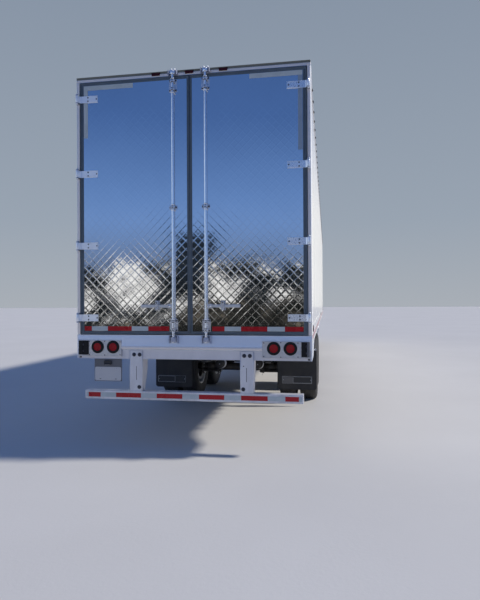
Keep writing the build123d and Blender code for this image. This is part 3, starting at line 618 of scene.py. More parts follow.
# ---------------------------------------------------------------------------
# Lamps
# ---------------------------------------------------------------------------
LAMPS = ((-1.053, 1.123), (-0.873, 1.123), (0.898, 1.123), (1.072, 1.123))
lamp = Shape()
for x, z in LAMPS:
    p = (x, y(-0.008), z)
    n = (0, -1, 0)
    # rubber grommet with its lip
    lamp.lathe(p, n, [(0, 0.0710), (0.006, 0.0710), (0.0105, 0.0680), (0.0125, 0.0600), (0.0120, 0.0500), (0.0100, 0.0455), (0.004, 0.0440)], 48, 0)
    # lens: rim, ring of flutes and domed centre
    prof = [(0.002, 0.0444), (0.0095, 0.0438), (0.0115, 0.0420)]
    for k in range(9):
        r = 0.0412 - k * 0.0043
        prof += [(0.0108 + 0.0012 * math.cos(k), r), (0.0126, r - 0.0023)]
    prof += [(0.0130, 0.0)]
    lamp.lathe(p, n, prof, 48, 1)
lamp.make("tail_lamp_units", [M["lamp_rubber"], M["red_lens"]], "root", "red_lens", replaces=["tail_lamps"])

mk = Shape()
for x in (-0.373, 0.0, 0.373):
    mk.box(x - 0.052, x + 0.052, y(-0.003), y(0), 4.068, 4.108, 0.001, 0)
    mk.box(x - 0.046, x + 0.046, y(-0.012), y(-0.003), 4.072, 4.104, 0.003, 1)
    for k in range(12):
        xx = x - 0.041 + k * 0.0075
        mk.box(xx - 0.0022, xx + 0.0022, y(-0.0128), y(-0.011), 4.076, 4.100, 0.0006, 1)
mk.make("header_marker_lamps", [M["dark_plastic"], M["marker_lens"]], "root", "red_lens", replaces=["marker_lamps"])

# ---------------------------------------------------------------------------
# Rear face
# ---------------------------------------------------------------------------


def loop(a0, a1, b0, b1, r, n=4):
    """Points round a rectangle with rounded corners, in its own two axes."""
    a0, a1, b0, b1 = min(a0, a1), max(a0, a1), min(b0, b1), max(b0, b1)
    out = []
    for ca, cb, t0 in ((a1 - r, b1 - r, 0), (a0 + r, b1 - r, 90), (a0 + r, b0 + r, 180), (a1 - r, b0 + r, 270)):
        for k in range(n + 1):
            t = math.radians(t0 + 90 * k / n)
            out.append((ca + r * math.cos(t), cb + r * math.sin(t)))
    return out


def spread(a, b, step):
    """Evenly spaced places from a to b, about step apart."""
    n = max(1, round((b - a) / step))
    return [a + (b - a) * k / n for k in range(n + 1)]


BACK = (0, -1, 0)
HINGES = (1.443, 2.240, 3.038, 3.868)
for side, s in SIDES:
    door = side + "_door"
    # rubber lips round the door, in the seal rubber whose blue tint is a painted sky reflection
    q = Shape()
    q.tube([(x, y(0.0015), z) for x, z in loop(s * 0.0105, s * 1.2455, 1.2715, 4.0485, 0.016)], 0.0048, 8, closed=True)
    q.tube([(x, y(0.0015), z) for x, z in loop(s * 0.0225, s * 1.2205, 1.2895, 4.0300, 0.012)], 0.0045, 8, closed=True)
    q.tube([(s * 1.233, y(0.0018), z) for z in (1.30, 2.6, 4.02)], 0.0032, 8)
    q.tube([(s * 0.0063, y(0.0018), z) for z in (1.273, 2.6, 4.047)], 0.0048, 8)
    q.make(side + "_seal_lips", M["rubber_seal"], door, "rubber_seal")

    # hinge straps: low domed bolts, pressed ribs, the joggle over the seal's edge, and the rolled knuckle
    q = Shape()
    bx, cx = (1.158, 1.058) if s < 0 else (1.172, 1.065)
    for z in HINGES:
        for x, dz in ((bx, 0.019), (bx, -0.019), (cx, 0.0)):
            q.lathe((s * x, y(-0.0078), z + dz), BACK, [(0, 0.0082), (0.0024, 0.0078), (0.0044, 0.0052), (0.0052, 0.0)], 18, 1)
        for dz in (-0.029, 0.029):
            q.tube([(s * xx, y(-0.0072), z + dz) for xx in (1.056, 1.12, bx + 0.012)], 0.0026, 8)
        q.box(s * 1.051, s * (bx + 0.018), y(-0.0090), y(-0.0070), z - 0.0345, z + 0.0345, 0.0008)
        q.box(s * (bx + 0.0215), s * (bx + 0.0275), y(-0.0100), y(-0.0070), z - 0.0368, z + 0.0368, 0.0012)
        q.lathe((s * 1.272, y(-0.038), z - 0.0368), (0, 0, 1), [(0, 0.0110), (0, 0.0146), (0.0015, 0.0152), (0.0721, 0.0152), (0.0736, 0.0146), (0.0736, 0.0110)], 28)
    # left straps in the paler zinc copy, right ones in bright zinc: painted light on the left
    q.make(side + "_hinge_strap_bolts", [M["lit_left_zinc" if s < 0 else "bright_zinc"], M["dark_fastener"]], door, "bright_zinc")

    # lock rod: stop collars, end caps, hooked cams and the handle's pivot
    q = Shape()
    up_ = (0, 0, 1)
    rc = (s * 0.180, y(-0.025))
    for z in (1.288, 1.430, 2.604, 2.662, 3.872, 4.020):
        q.lathe((rc[0], rc[1], z - 0.005), up_, [(0, 0.014), (0, 0.0195), (0.0015, 0.021), (0.0085, 0.021), (0.010, 0.0195), (0.010, 0.014)], 24)
    for z0, z1, mi in ((1.1835, 1.2365, 3), (4.0655, 4.1065, 0)):
        # cam body with its two horns
        q.lathe((rc[0], rc[1], z0), up_, [(0, 0.0), (0, 0.0185), (0.003, 0.0205), (z1 - z0 - 0.003, 0.0205), (z1 - z0, 0.0185), (z1 - z0, 0)], 24, mi)
        for k in (-1, 1):
            q.box(rc[0] + k * 0.012, rc[0] + k * 0.030, y(-0.038), y(-0.013), z0 + 0.004, z1 - 0.004, 0.004, mi)
    q.box(s * 0.190, s * 0.2450, y(-0.0405), y(-0.011), 1.5465, 1.5935, 0.005, 2)
    q.box(s * 0.2425, s * 0.5420, y(-0.0325), y(-0.0180), 1.5545, 1.5855, 0.0045, 2)
    q.hexhead((s * 0.226, y(-0.040), 1.570), BACK, 0.010, 0.010, 0)
    q.lathe((s * 0.200, y(-0.040), 1.570), BACK, [(0, 0.007), (0.003, 0.006), (0.004, 0)], 16)
    # grip of the handle, raised a little at both edges
    for dz in (-0.0105, 0.0105):
        q.tube([(s * xx, y(-0.0320), 1.570 + dz) for xx in (0.245, 0.36, 0.47, 0.530)], 0.0022, 8, 2)
    q.box(s * 0.455, s * 0.5440, y(-0.0345), y(-0.0170), 1.5530, 1.5870, 0.006, 2)
    q.make(side + "_lock_rod_fittings", [M["rod_steel"], M["dark_fastener"], M["handle_zinc"], M["low_zinc"]], door, "bright_zinc")

    # rod guides and the handle's retainer
    q = Shape()
    for z, h in ((1.361, 0.066), (2.635, 0.022), (3.951, 0.066)):
        q.box(s * 0.180 - 0.0435, s * 0.180 + 0.0435, y(-0.0072), y(-0.005), z - h + 0.002, z + h - 0.002, 0.0008)
        for k in (-1, 1):
            for dz in ((-h + 0.013, h - 0.013) if h > 0.04 else (0,)):
                q.hexhead((s * 0.180 + k * 0.034, y(-0.0072), z + dz), BACK, 0.0065, 0.007, 1)
        for zc in ((z,) if h < 0.04 else (z - h + 0.022, z + h - 0.022)):
            q.box(s * 0.180 - 0.0255, s * 0.180 + 0.0255, y(-0.0435), y(-0.0065), zc - 0.0125, zc + 0.0125, 0.006)
            q.lathe((s * 0.180, y(-0.025), zc - 0.0155), (0, 0, 1), [(0, 0.0148), (0, 0.0185), (0.031, 0.0185), (0.031, 0.0148)], 20, 2)
    x0, x1 = 0.337, 0.389
    q.box(s * x0 + s * 0.0015, s * x1 - s * 0.0015, y(-0.0075), y(-0.005), 1.5255, 1.6285, 0.0010)
    for xx in (0.347, 0.379):
        for zz in (1.5335, 1.6200):
            q.rivet((s * xx, y(-0.0072), zz), BACK, 0.0055, 0.0035, 10, 1)
    q.box(s * 0.350, s * 0.376, y(-0.0425), y(-0.0375), 1.548, 1.620, 0.0018)       # swinging catch
    q.lathe((s * 0.363, y(-0.0425), 1.606), BACK, [(0, 0.0085), (0.0035, 0.0075), (0.0045, 0)], 16, 1)
    q.box(s * 0.3475, s * 0.3785, y(-0.0415), y(-0.006), 1.5445, 1.5525, 0.002)      # its lower lug, with the padlock eye
    q.lathe((s * 0.363, y(-0.0445), 1.538), BACK, [(-0.003, 0.0115), (0.0, 0.0125), (0.003, 0.0115), (0.003, 0.0062), (-0.003, 0.0062), (-0.003, 0.0115)], 20)
    q.make(side + "_rod_guide_fittings", [M["bearing_plate"], M["dark_fastener"], M["dark_plastic"]], door, "bright_zinc")

    # inner face of the door: liner with pressed ribs, hasp plates and bolts of the straps
    q = Shape()
    q.box(s * 0.034, s * 1.206, y(0.084), y(0.088), 1.304, 4.014, 0.0012)
    for xx in spread(0.135, 1.105, 0.139):
        q.box(s * (xx - 0.030), s * (xx + 0.030), y(0.0875), y(0.0905), 1.62, 3.92, 0.0014)
    q.box(s * 0.05, s * 1.19, y(0.0875), y(0.0900), 1.325, 1.580, 0.0010, 1)
    for xx in spread(0.075, 1.165, 0.109):
        for zz in (1.345, 1.560):
            q.rivet((s * xx, y(0.0900), zz), (0, 1, 0), 0.0065, 0.003, 8, 1)
    for z in HINGES:
        for x, dz in ((bx, 0.019), (bx, -0.019), (cx, 0.0)):
            q.lathe((s * x, y(0.088), z + dz), (0, 1, 0), [(0, 0.014), (0.003, 0.013), (0.006, 0.008), (0.006, 0)], 12, 1)
    q.make(side + "_door_liner", [M["liner"], M["fastener"]], door, "white_panel")

# hinge butts: pin heads, washers, and weld beads along the plate and the ears
q = Shape()
for side, s in SIDES:
    for z in HINGES:
        for k in (-1, 1):
            q.lathe((s * 1.272, y(-0.038), z + k * 0.0520), (0, 0, k), [(0, 0.0105), (0.0038, 0.0098), (0.0062, 0.0050), (0.0062, 0)], 20, 0)
            q.lathe((s * 1.272, y(-0.038), z + k * 0.0503), (0, 0, k), [(0, 0.0130), (0.0018, 0.0130), (0.0018, 0.006)], 20, 0)
            q.tube([(s * (1.2612 + 0.0010 * (i % 2)), y(-0.0018), z + k * (0.002 + 0.0032 * i)) for i in range(15)], 0.0022, 6, 1)
            q.tube([(s * (1.264 + 0.0018 * i), y(-0.0030 - 0.0006 * (i % 2)), z + k * 0.0512) for i in range(13)], 0.0020, 6, 1)
        q.box(s * 1.2640, s * 1.2862, y(-0.0052), y(-0.003), z - 0.036, z + 0.036, 0.0008, 1)
q.make("hinge_butt_welds", [M["bright_zinc"], M["ear_steel"]], "root", "bright_zinc")

# keepers: beads round the plates, bolts, and pads on the cheeks
q = Shape()
for side, s in SIDES:
    for z0, z1, mi in ((1.169, 1.251, 3), (4.062, 4.113, 3)):
        for x in (0.130, 0.220):
            q.box(s * (x - 0.0008), s * (x + 0.0108), y(-0.0372), y(-0.0040), z0 + 0.003, z1 - 0.001, 0.0022, mi)
            q.lathe((s * (x + 0.005), y(-0.0375), (z0 + z1) / 2), BACK, [(-0.002, 0.0072), (0.003, 0.0072), (0.0055, 0.005), (0.0062, 0)], 14, mi)
            q.tube([(s * (x + 0.005 + 0.0065 * k), y(-0.0045), z0 + 0.006 + (z1 - z0 - 0.012) * i / 10) for k in (1,) for i in range(11)], 0.0022, 6, mi)
        for k in (-1, 1):
            q.hexhead((s * (0.180 + k * 0.030), y(-0.004), z1 - 0.010), BACK, 0.006, 0.006, 1)
    # the upper keeper's back plate stands a little above the header and carries two round-headed studs
    q.box(s * 0.180 - 0.046, s * 0.180 + 0.046, y(-0.0045), y(-0.0002), 4.064, 4.1190, 0.0015, 3)
    for x in ((-0.196, -0.160) if s < 0 else (0.163, 0.206)):
        q.lathe((x, y(-0.0185), 4.1085), (0, 0, 1), [(0, 0.0), (0, 0.0118), (0.002, 0.0138), (0.012, 0.0138), (0.0185, 0.0118), (0.0230, 0.0070), (0.0245, 0)], 24, 2)
    q.lathe((s * 0.212, y(-0.0045), 1.212), BACK, [(0, 0.0085), (0.003, 0.0080), (0.003, 0.0045), (-0.001, 0.004), (-0.001, 0)], 16, 1)
q.make("keeper_fittings", [M["bright_zinc"], M["dark_fastener"], M["stud_zinc"], M["low_zinc"]], "root", "bright_zinc")

# header: rain lip along its top edge and the band under it, painted dark as shade, and a moulding below painted pale as
# a highlight
q = Shape()
q.box(-1.2945, 1.2945, y(-0.0100), y(0.0), 4.1060, 4.1145, 0.0030, 1)
for x0, x1 in ((-1.2945, -0.234), (-0.126, 0.126), (0.234, 1.2945)):
    q.box(x0, x1, y(-0.0034), y(0.001), 4.0665, 4.0885, 0.0012, 2)
    q.box(x0, x1, y(-0.0022), y(0.001), 4.0885, 4.1060, 0.0008, 1)
for side, s in SIDES:
    # posts: an edge strip painted pale as a highlight over the post's own pale colour, and the turned-in edge beside
    # the seal painted dark as shade
    q.box(s * 1.2600, s * 1.2860, y(-0.0012), y(0.002), 1.262, 4.0655, 0.0006, 2)
    q.box(s * 1.2572, s * 1.2602, y(-0.0030), y(0.002), 1.262, 4.0600, 0.0010, 1)
for side, s in SIDES:
    q.tube([(s * 1.2906, y(0.0048), 1.262), (s * 1.2906, y(0.0048), 2.6), (s * 1.2906, y(0.0048), 4.110)], 0.0046, 10, 3)
    q.box(s * 1.2948, s * 1.2959, y(0.0060), y(0.1985), 1.262, 4.108, 0.0004, 3)
q.make("rear_frame_trim", [M["rear_frame"], M["shade_alloy"], M["pale_highlight_alloy"], M["post_side"]], "root", "stainless")

# sill: hem above the step, bolts, and a drip edge
q = Shape()
# the upper band is dished a little and ends in a turned-out ledge
for x0, x1, rows in ((-0.7755, 0.7755, [(0.0006, 1.2495), (-0.0012, 1.235), (-0.0026, 1.215), (-0.0044, 1.190), (-0.0068, 1.160), (-0.0098, 1.132)]),
                     (-1.2850, -0.7757, [(0.0006, 1.2495), (-0.0012, 1.235), (-0.0026, 1.215), (-0.0040, 1.1975)]),
                     (0.7757, 1.2850, [(0.0006, 1.2495), (-0.0012, 1.235), (-0.0026, 1.215), (-0.0040, 1.1975)])):
    vs = [(x, y(d), z) for d, z in rows for x in (x0, x1)] + [(x, y(0.0010), rows[-1][1]) for x in (x0, x1)] + [(x, y(0.0010), rows[0][1]) for x in (x0, x1)]
    m_ = len(rows)
    q.add(vs[:2 * m_], [(2 * i, 2 * i + 1, 2 * i + 3, 2 * i + 2) for i in range(m_ - 1)], 0, True)
    q.add(vs, [(2 * m_ - 2, 2 * m_ - 1, 2 * m_ + 1, 2 * m_), (2 * m_, 2 * m_ + 1, 2 * m_ + 3, 2 * m_ + 2), (2 * m_ + 2, 2 * m_ + 3, 1, 0),
               tuple(range(0, 2 * m_, 2)) + (2 * m_, 2 * m_ + 2), tuple(range(1, 2 * m_, 2)) + (2 * m_ + 1, 2 * m_ + 3)], 0)
# the turned-out ledge in the pale alloy: a painted highlight along it
q.prism([(y(-0.0098), 1.1310), (y(-0.0120), 1.1180), (y(-0.0115), 1.1060), (y(-0.0060), 1.1000), (y(0.0010), 1.1000), (y(0.0010), 1.1310)], 0, -0.7755, 0.7755, 3)
# lower band below the step, in the greyer copy of the sill paint: painted light standing for how this band is lit
q.box(-1.2850, 1.2850, y(0.0115), y(0.0160), 0.9935, 1.0010, 0.0014, 2)
q.box(-1.2850, 1.2850, y(0.0125), y(0.0150), 1.0010, 1.0915, 0.0006, 2)
q.box(-1.2850, 1.2850, y(-0.0015), y(0.0030), 1.2500, 1.2568, 0.0010, 0)
for x in (-1.262, 1.262):
    q.hexhead((x, y(0.014), 1.008), BACK, 0.009, 0.008, 1)
for k in range(4):
    q.lathe((-0.42 + 0.28 * k, y(0.014), 1.072), BACK, [(0, 0.011), (0.0008, 0.011), (0.0008, 0.0075), (-0.002, 0.006), (-0.002, 0)], 16, 1)
q.make("sill_edges_and_bolts", [M["frame_paint"], M["dark_fastener"], M["lower_paint"], M["pale_highlight_alloy"]], "root", "frame_paint")

# lamp plates: folded edges and screws; dock bumpers with a groove and their bolts
q = Shape()
for side, s in SIDES:
    for z in (1.0245, 1.1945):
        q.box(s * 0.777, s * 1.275, y(-0.0095), y(-0.0075), z - 0.0022, z + 0.0022, 0.0007)
    q.box(s * 0.7765, s * 0.7805, y(-0.0095), y(-0.0075), 1.023, 1.196, 0.0007)
    for x, z in ((0.793, 1.180), (0.793, 1.038), (0.972, 1.185), (0.972, 1.034), (1.150, 1.181), (1.150, 1.037)):
        q.lathe((s * x, y(-0.008), z), BACK, [(0, 0.0062), (0.002, 0.0058), (0.0032, 0.003), (0.0032, 0)], 12, 1)
q.make("lamp_plate_screws", [M["galvanised"], M["dark_fastener"]], "root", "galvanised")
q = Shape()
for side, s in SIDES:
    a0, a1, a2, a3 = (1.160, 1.210, 1.222, 1.272) if s < 0 else (1.186, 1.232, 1.244, 1.272)
    q.box(s * a0, s * a3, y(-0.0190), y(-0.0080), 1.036, 1.192, 0.0025, 0)
    for a, b, mi in ((a0 + 0.0005, a1, 0), (a2, a3 - 0.0005, 0 if s < 0 else 2)):
        q.box(s * a, s * b, y(-0.0245), y(-0.0120), 1.037, 1.191, 0.0045, mi)
    for z in (1.078, 1.150):
        q.lathe((s * (a1 + a2) / 2, y(-0.0190), z), BACK, [(0, 0.0125), (0.0018, 0.0125), (0.0018, 0.0)], 18, 1)
        q.hexhead((s * (a1 + a2) / 2, y(-0.0205), z), BACK, 0.0078, 0.0065, 1, washer=0)
q.make("dock_bumper_blocks", [M["lamp_rubber"], M["dark_fastener"], M["holder_grey"]], "root", "black_rubber", replaces=["dock_bumpers"])

# licence plate: blank sheet with a raised rim and slots, screws, holder with its lamp; the sheet's grey is darkened as
# painted shade
q = Shape()
px0, px1, pz0, pz1 = -1.0930, -0.7880, 0.7500, 0.9020
rim = loop(px0, px1, pz0, pz1, 0.018, 6)
inner = loop(px0 + 0.006, px1 - 0.006, pz0 + 0.006, pz1 - 0.006, 0.013, 6)
k = len(rim)
vs = [(x, y(0.0105), z) for x, z in rim] + [(x, y(0.0088), z) for x, z in loop(px0 + 0.002, px1 - 0.002, pz0 + 0.002, pz1 - 0.002, 0.017, 6)]
vs += [(x, y(0.0088), z) for x, z in inner] + [(x, y(0.0100), z) for x, z in loop(px0 + 0.0075, px1 - 0.0075, pz0 + 0.0075, pz1 - 0.0075, 0.012, 6)]
fs = [(r_ * k + i, r_ * k + (i + 1) % k, (r_ + 1) * k + (i + 1) % k, (r_ + 1) * k + i) for r_ in range(3) for i in range(k)]
fs.append(tuple(range(3 * k, 4 * k)))
vs += [(x, y(0.0140), z) for x, z in rim]
fs += [(i, (i + 1) % k, 4 * k + (i + 1) % k, 4 * k + i) for i in range(k)]
q.add(vs, fs, 0)
for x in (-1.0300, -0.8510):
    q.box(x - 0.010, x + 0.010, y(0.0096), y(0.0110), 0.8800, 0.8862, 0.0006, 1)
    q.lathe((x, y(0.0100), 0.8831), BACK, [(0, 0.0070), (0.0022, 0.0062), (0.0034, 0.0035), (0.0034, 0)], 14, 2)
for x in (-1.0300, -0.8510):
    q.box(x - 0.010, x + 0.010, y(0.0096), y(0.0110), 0.7658, 0.7720, 0.0006, 1)
q.make("licence_plate_sheet", [M["plate"], M["dark_plastic"], M["fastener"]], "root", "plate")
q = Shape()
q.box(-1.100, -0.782, y(0.0138), y(0.0200), 0.745, 0.990, 0.0015, 0)
for z in (0.747, 0.988):
    q.box(-1.099, -0.783, y(0.0100), y(0.0150), z - 0.0018, z + 0.0018, 0.0006, 0)
q.box(-0.985, -0.897, y(-0.0060), y(0.0140), 0.930, 0.972, 0.005, 1)
q.prism([(y(-0.0150), 0.928), (y(-0.0150), 0.938), (y(0.0010), 0.956), (y(0.0010), 0.928)], 0, -0.975, -0.907, 1)
q.box(-0.970, -0.912, y(-0.0130), y(-0.001), 0.9262, 0.9292, 0.0012, 2)
q.make("plate_holder_and_lamp", [M["holder_grey"], M["dark_plastic"], M["clear_lens"]], "root", "galvanised", replaces=["licence_plate"])

# guard: bolts with washers, slot, weld beads, end plates
q = Shape()
for x, z in ((-0.635, 1.042), (-0.572, 1.042), (0.584, 1.042), (0.644, 1.042), (-0.577, 0.688), (0.572, 0.688)):
    q.lathe((x, y(0.002), z), BACK, [(0, 0.0215), (0.0028, 0.0210), (0.0032, 0.0150), (0.0032, 0.0)], 24, 1)
    q.hexhead((x, y(-0.0008), z), BACK, 0.0150, 0.0125, 1, washer=0)
q.box(0.6055, 0.6105, y(0.0008), y(0.0030), 0.765, 0.915, 0.0003, 3)
q.box(-0.6105, -0.6055, y(0.0008), y(0.0030), 0.765, 0.915, 0.0003, 3)
q.lathe((0.577, y(0.0022), 0.932), BACK, [(-0.0005, 0.006), (0.0006, 0.006), (0.0006, 0)], 14, 3)
for s in (-1, 1):
    for xx in (0.544, 0.682):
        # rolled edge of the post
        q.tube([(s * xx, y(0.0042), z) for z in (0.640, 0.86, 1.083)], 0.0045, 8, 0)
    q.tube([(s * (0.546 + 0.0068 * i), y(0.0025 + 0.0008 * (i % 2)), 0.6455) for i in range(21)], 0.0045, 6, 0)
    q.box(s * 1.2005, s * 1.2045, y(0.004), y(0.096), 0.552, 0.641, 0.0015, 0)
q.make("guard_bolts_and_welds", [M["guard_paint"], M["dark_fastener"], M["fastener"], M["dark_plastic"]], "root", "frame_paint")

# ---------------------------------------------------------------------------
# Sides, roof and nose
# ---------------------------------------------------------------------------
D0, D1 = 0.200, 16.054
for side, s in SIDES:
    n = (s, 0, 0)
    q = Shape()
    for d in spread(D0 + 1.2446, D1 - 1.10, 1.2192):
        q.box(s * 1.2895, s * 1.2911, y(d - 0.024), y(d + 0.024), 1.361, 3.949, 0.0005, 0)
        for z in spread(1.385, 3.925, 0.0762):
            for dd in (-0.013, 0.013):
                q.rivet((s * 1.2911, y(d + dd), z), n, 0.0046, 0.0022, 6, 0)
    q.make(side + "_wall_seams", [M["white_panel"]], "root", "white_panel")
    q = Shape()
    for d in spread(D0 + 0.03, D1 - 0.03, 0.0762):
        q.rivet((s * 1.2954, y(d), 3.9630), n, 0.0050, 0.0026, 6, 0)
        q.rivet((s * 1.2954, y(d), 1.3480), n, 0.0050, 0.0026, 6, 1)
    for d in spread(D0 + 0.05, D1 - 0.05, 0.1524):
        q.rivet((s * 1.2954, y(d), 1.1800), n, 0.0055, 0.0030, 6, 1)
        q.rivet((s * 1.2954, y(d), 1.2780), n, 0.0050, 0.0026, 6, 1)
    q.box(s * 1.2948, s * 1.2975, y(D0 + 0.002), y(D1), 1.1618, 1.1680, 0.0010, 1)
    q.box(s * 1.2948, s * 1.2970, y(D0 + 0.002), y(D1), 1.3545, 1.3600, 0.0008, 1)
    q.box(s * 1.2948, s * 1.2975, y(D0 + 0.002), y(D1), 3.9502, 3.9560, 0.0010, 0)
    q.box(s * 1.2948, s * 1.2985, y(D0 + 0.002), y(D1), 4.0690, 4.0760, 0.0014, 0)
    q.make(side + "_rail_rivets", [M["aluminium"], M["white_panel"]], "root", "aluminium")
    # fastener groups of the roof bows, one each 0.356 m along the upper edge
    q = Shape()
    d = 0.461
    while d < 15.9:
        q.box(s * 1.2950, s * 1.3050, y(d - 0.0160), y(d + 0.0160), 3.9700, 3.9960, 0.0020, 0)
        q.hexhead((s * 1.3045, y(d), 3.9830), n, 0.0070, 0.0050, 0, washer=1.3)
        d += 0.3420
    q.make(side + "_bow_fasteners", [M["dark_fastener"]], "root", "aluminium")
    # side marker lamps on the bottom rail
    q = Shape()
    for d, mi in ((0.42, 1), (8.05, 2), (15.86, 2)):
        q.lathe((s * 1.2954, y(d), 1.3130), n, [(0, 0.0370), (0.004, 0.0370), (0.0075, 0.0345), (0.0080, 0.0320)], 32, 0)
        q.lathe((s * 1.2954, y(d), 1.3130), n, [(0.0050, 0.0325), (0.0085, 0.0315), (0.0090, 0.026), (0.0082, 0.0245), (0.0096, 0.020), (0.0088, 0.0185),
                                                (0.0104, 0.012), (0.0110, 0)], 32, mi)
    q.make(side + "_side_marker_lamps", [M["black_rubber"], M["red_lens"], M["amber_lens"]], "root", "red_lens")

# roof: cross seams over the bows, edge rivets
q = Shape()
for d in spread(D0 + 0.61, D1 - 0.61, 0.6096):
    q.box(-1.205, 1.205, y(d - 0.021), y(d + 0.021), 4.1045, 4.1058, 0.0004)
for s in (-1, 1):
    q.box(s * 1.214, s * 1.279, y(D0 + 0.002), y(D1), 4.1046, 4.1066, 0.0008)
    for d in spread(D0 + 0.04, D1 - 0.04, 0.1016):
        for x in (1.228, 1.262):
            q.rivet((s * x, y(d), 4.1066), (0, 0, 1), 0.0050, 0.0024, 6)
q.make("roof_seams", [M["aluminium"]], "root", "aluminium")

# nose: rails, rivets and clearance lamps
NY = 16.154
q = Shape()
q.box(-1.205, 1.205, y(NY), y(NY + 0.0035), 1.163, 1.315, 0.0015, 0)
q.box(-1.205, 1.205, y(NY), y(NY + 0.0030), 4.030, 4.104, 0.0012, 0)
for x in spread(-1.19, 1.19, 0.0762):
    for z in (1.178, 1.300):
        q.rivet((x, y(NY + 0.0035), z), (0, 1, 0), 0.0050, 0.0026, 6)
    q.rivet((x, y(NY + 0.0030), 4.040), (0, 1, 0), 0.0050, 0.0026, 6)
for s in (-1, 1):
    q.box(s * 1.128, s * 1.168, y(NY), y(NY + 0.0018), 1.316, 4.029, 0.0006, 1)
    for z in spread(1.34, 4.00, 0.0762):
        for x in (1.138, 1.158):
            q.rivet((s * x, y(NY + 0.0018), z), (0, 1, 0), 0.0046, 0.0022, 6, 1)
    # rounded corner: scuff guard round its foot
    arc = [(1.205 + 0.0875 * math.sin(t), NY - 0.085 + 0.0875 * math.cos(t)) for t in [math.radians(9 * i) for i in range(11)]]
    vs, fs = [], []
    for i, (x, d) in enumerate(arc):
        vs += [(s * x, y(d), 1.163), (s * x, y(d), 1.500)]
    fs = [(2 * i, 2 * i + 2, 2 * i + 3, 2 * i + 1) for i in range(10)]
    q.add(vs, fs, 0, True)
    for x, d in arc[1::2]:
        for z in (1.180, 1.340, 1.485):
            nx, nd = (x - 1.205) / 0.0875, (d - NY + 0.085) / 0.0875
            q.rivet((s * x, y(d), z), (s * nx, nd, 0), 0.0048, 0.0024, 6)
q.make("nose_rails_and_rivets", [M["aluminium"], M["white_panel"]], "root", "aluminium")
q = Shape()
for x in (-1.12, -0.19, 0.0, 0.19, 1.12):
    q.box(x - 0.056, x + 0.056, y(NY), y(NY + 0.006), 4.048, 4.090, 0.0020, 0)
    q.box(x - 0.048, x + 0.048, y(NY + 0.004), y(NY + 0.020), 4.053, 4.085, 0.0050, 1)
    for k in range(10):
        q.box(x - 0.042 + 0.0092 * k - 0.0024, x - 0.042 + 0.0092 * k + 0.0024, y(NY + 0.018), y(NY + 0.0212), 4.058, 4.080, 0.0008, 1)
q.make("nose_clearance_lamps", [M["dark_plastic"], M["amber_lens"]], "root", "red_lens")

# refrigeration unit
UY = 16.604
AHEAD = (0, 1, 0)
q = Shape()
for s in (-1, 1):
    # service doors with folded edges
    q.box(s * 0.012, s * 0.862, y(UY - 0.004), y(UY + 0.016), 2.075, 3.055, 0.0080, 0)
    q.box(s * 0.075, s * 0.800, y(UY + 0.014), y(UY + 0.0185), 2.150, 2.980, 0.0040, 0)
    for z in (2.16, 2.97):
        q.box(s * 0.846, s * 0.884, y(UY + 0.001), y(UY + 0.022), z - 0.035, z + 0.035, 0.0030, 3)
        q.lathe((s * 0.868, y(UY + 0.020), z - 0.036), (0, 0, 1), [(0, 0), (0, 0.0065), (0.072, 0.0065), (0.072, 0)], 12, 3)
    for z in (2.26, 2.87):
        q.lathe((s * 0.060, y(UY + 0.016), z), AHEAD, [(0, 0.021), (0.003, 0.021), (0.005, 0.018), (0.005, 0.013), (0.003, 0.012), (0.003, 0)], 24, 2)
        q.box(s * 0.060 - 0.012, s * 0.060 + 0.012, y(UY + 0.018), y(UY + 0.0235), z - 0.003, z + 0.003, 0.0012, 3)
    # vents of the sides
    q.box(s * 1.0290, s * 1.0330, y(16.185), y(16.420), 2.150, 3.350, 0.0015, 2)
    for z in spread(2.19, 3.31, 0.035):
        q.prism([(s * 1.032, y(16.200)), (s * 1.050, y(16.200)), (s * 1.050, y(16.405)), (s * 1.032, y(16.405))], 2, z - 0.0012, z + 0.0012, 0)
        q.prism([(y(16.200), z - 0.008), (y(16.200), z + 0.010), (y(16.405), z + 0.010), (y(16.405), z - 0.008)], 0, s * 1.0320, s * 1.0335, 2)
    for a, b, c, d in ((16.180, 16.200, 2.140, 3.360), (16.405, 16.425, 2.140, 3.360)):
        q.box(s * 1.029, s * 1.052, y(a), y(b), c, d, 0.0030, 0)
    for c, d in ((2.140, 2.160), (3.340, 3.360)):
        q.box(s * 1.029, s * 1.052, y(16.180), y(16.425), c, d, 0.0030, 0)
    q.box(s * 1.0290, s * 1.0345, y(16.180), y(16.440), 3.420, 3.960, 0.0020, 0)
    q.box(s * 1.0290, s * 1.0345, y(16.180), y(16.440), 1.800, 2.100, 0.0020, 0)
    for z in (1.83, 2.07, 3.45, 3.93):
        for d in (16.20, 16.42):
            q.hexhead((s * 1.0345, y(d), z), (s, 0, 0), 0.0085, 0.007, 3)
    # brackets that hold the unit to the wall
    for z in (1.90, 2.60, 3.30, 3.90):
        q.box(s * 1.026, s * 1.075, y(NY + 0.001), y(NY + 0.012), z - 0.045, z + 0.045, 0.0025, 3)
        for dz in (-0.022, 0.022):
            q.hexhead((s * 1.055, y(NY + 0.012), z + dz), AHEAD, 0.010, 0.009, 3)
# condenser grille
q.box(-0.800, 0.800, y(UY - 0.002), y(UY + 0.0015), 3.125, 3.900, 0.0005, 2)
for a, b, c, d in ((-0.830, 0.830, 3.880, 3.915), (-0.830, 0.830, 3.095, 3.130), (-0.830, -0.795, 3.095, 3.915), (0.795, 0.830, 3.095, 3.915)):
    q.box(a, b, y(UY - 0.004), y(UY + 0.022), c, d, 0.0060, 0)
for z in spread(3.150, 3.862, 0.0445):
    q.prism([(y(UY + 0.001), z - 0.006), (y(UY + 0.017), z + 0.010), (y(UY + 0.019), z + 0.0125), (y(UY + 0.001), z - 0.002)], 0, -0.797, 0.797, 0)
for x in (-0.4, 0.0, 0.4):
    q.box(x - 0.009, x + 0.009, y(UY), y(UY + 0.0205), 3.128, 3.882, 0.0030, 0)
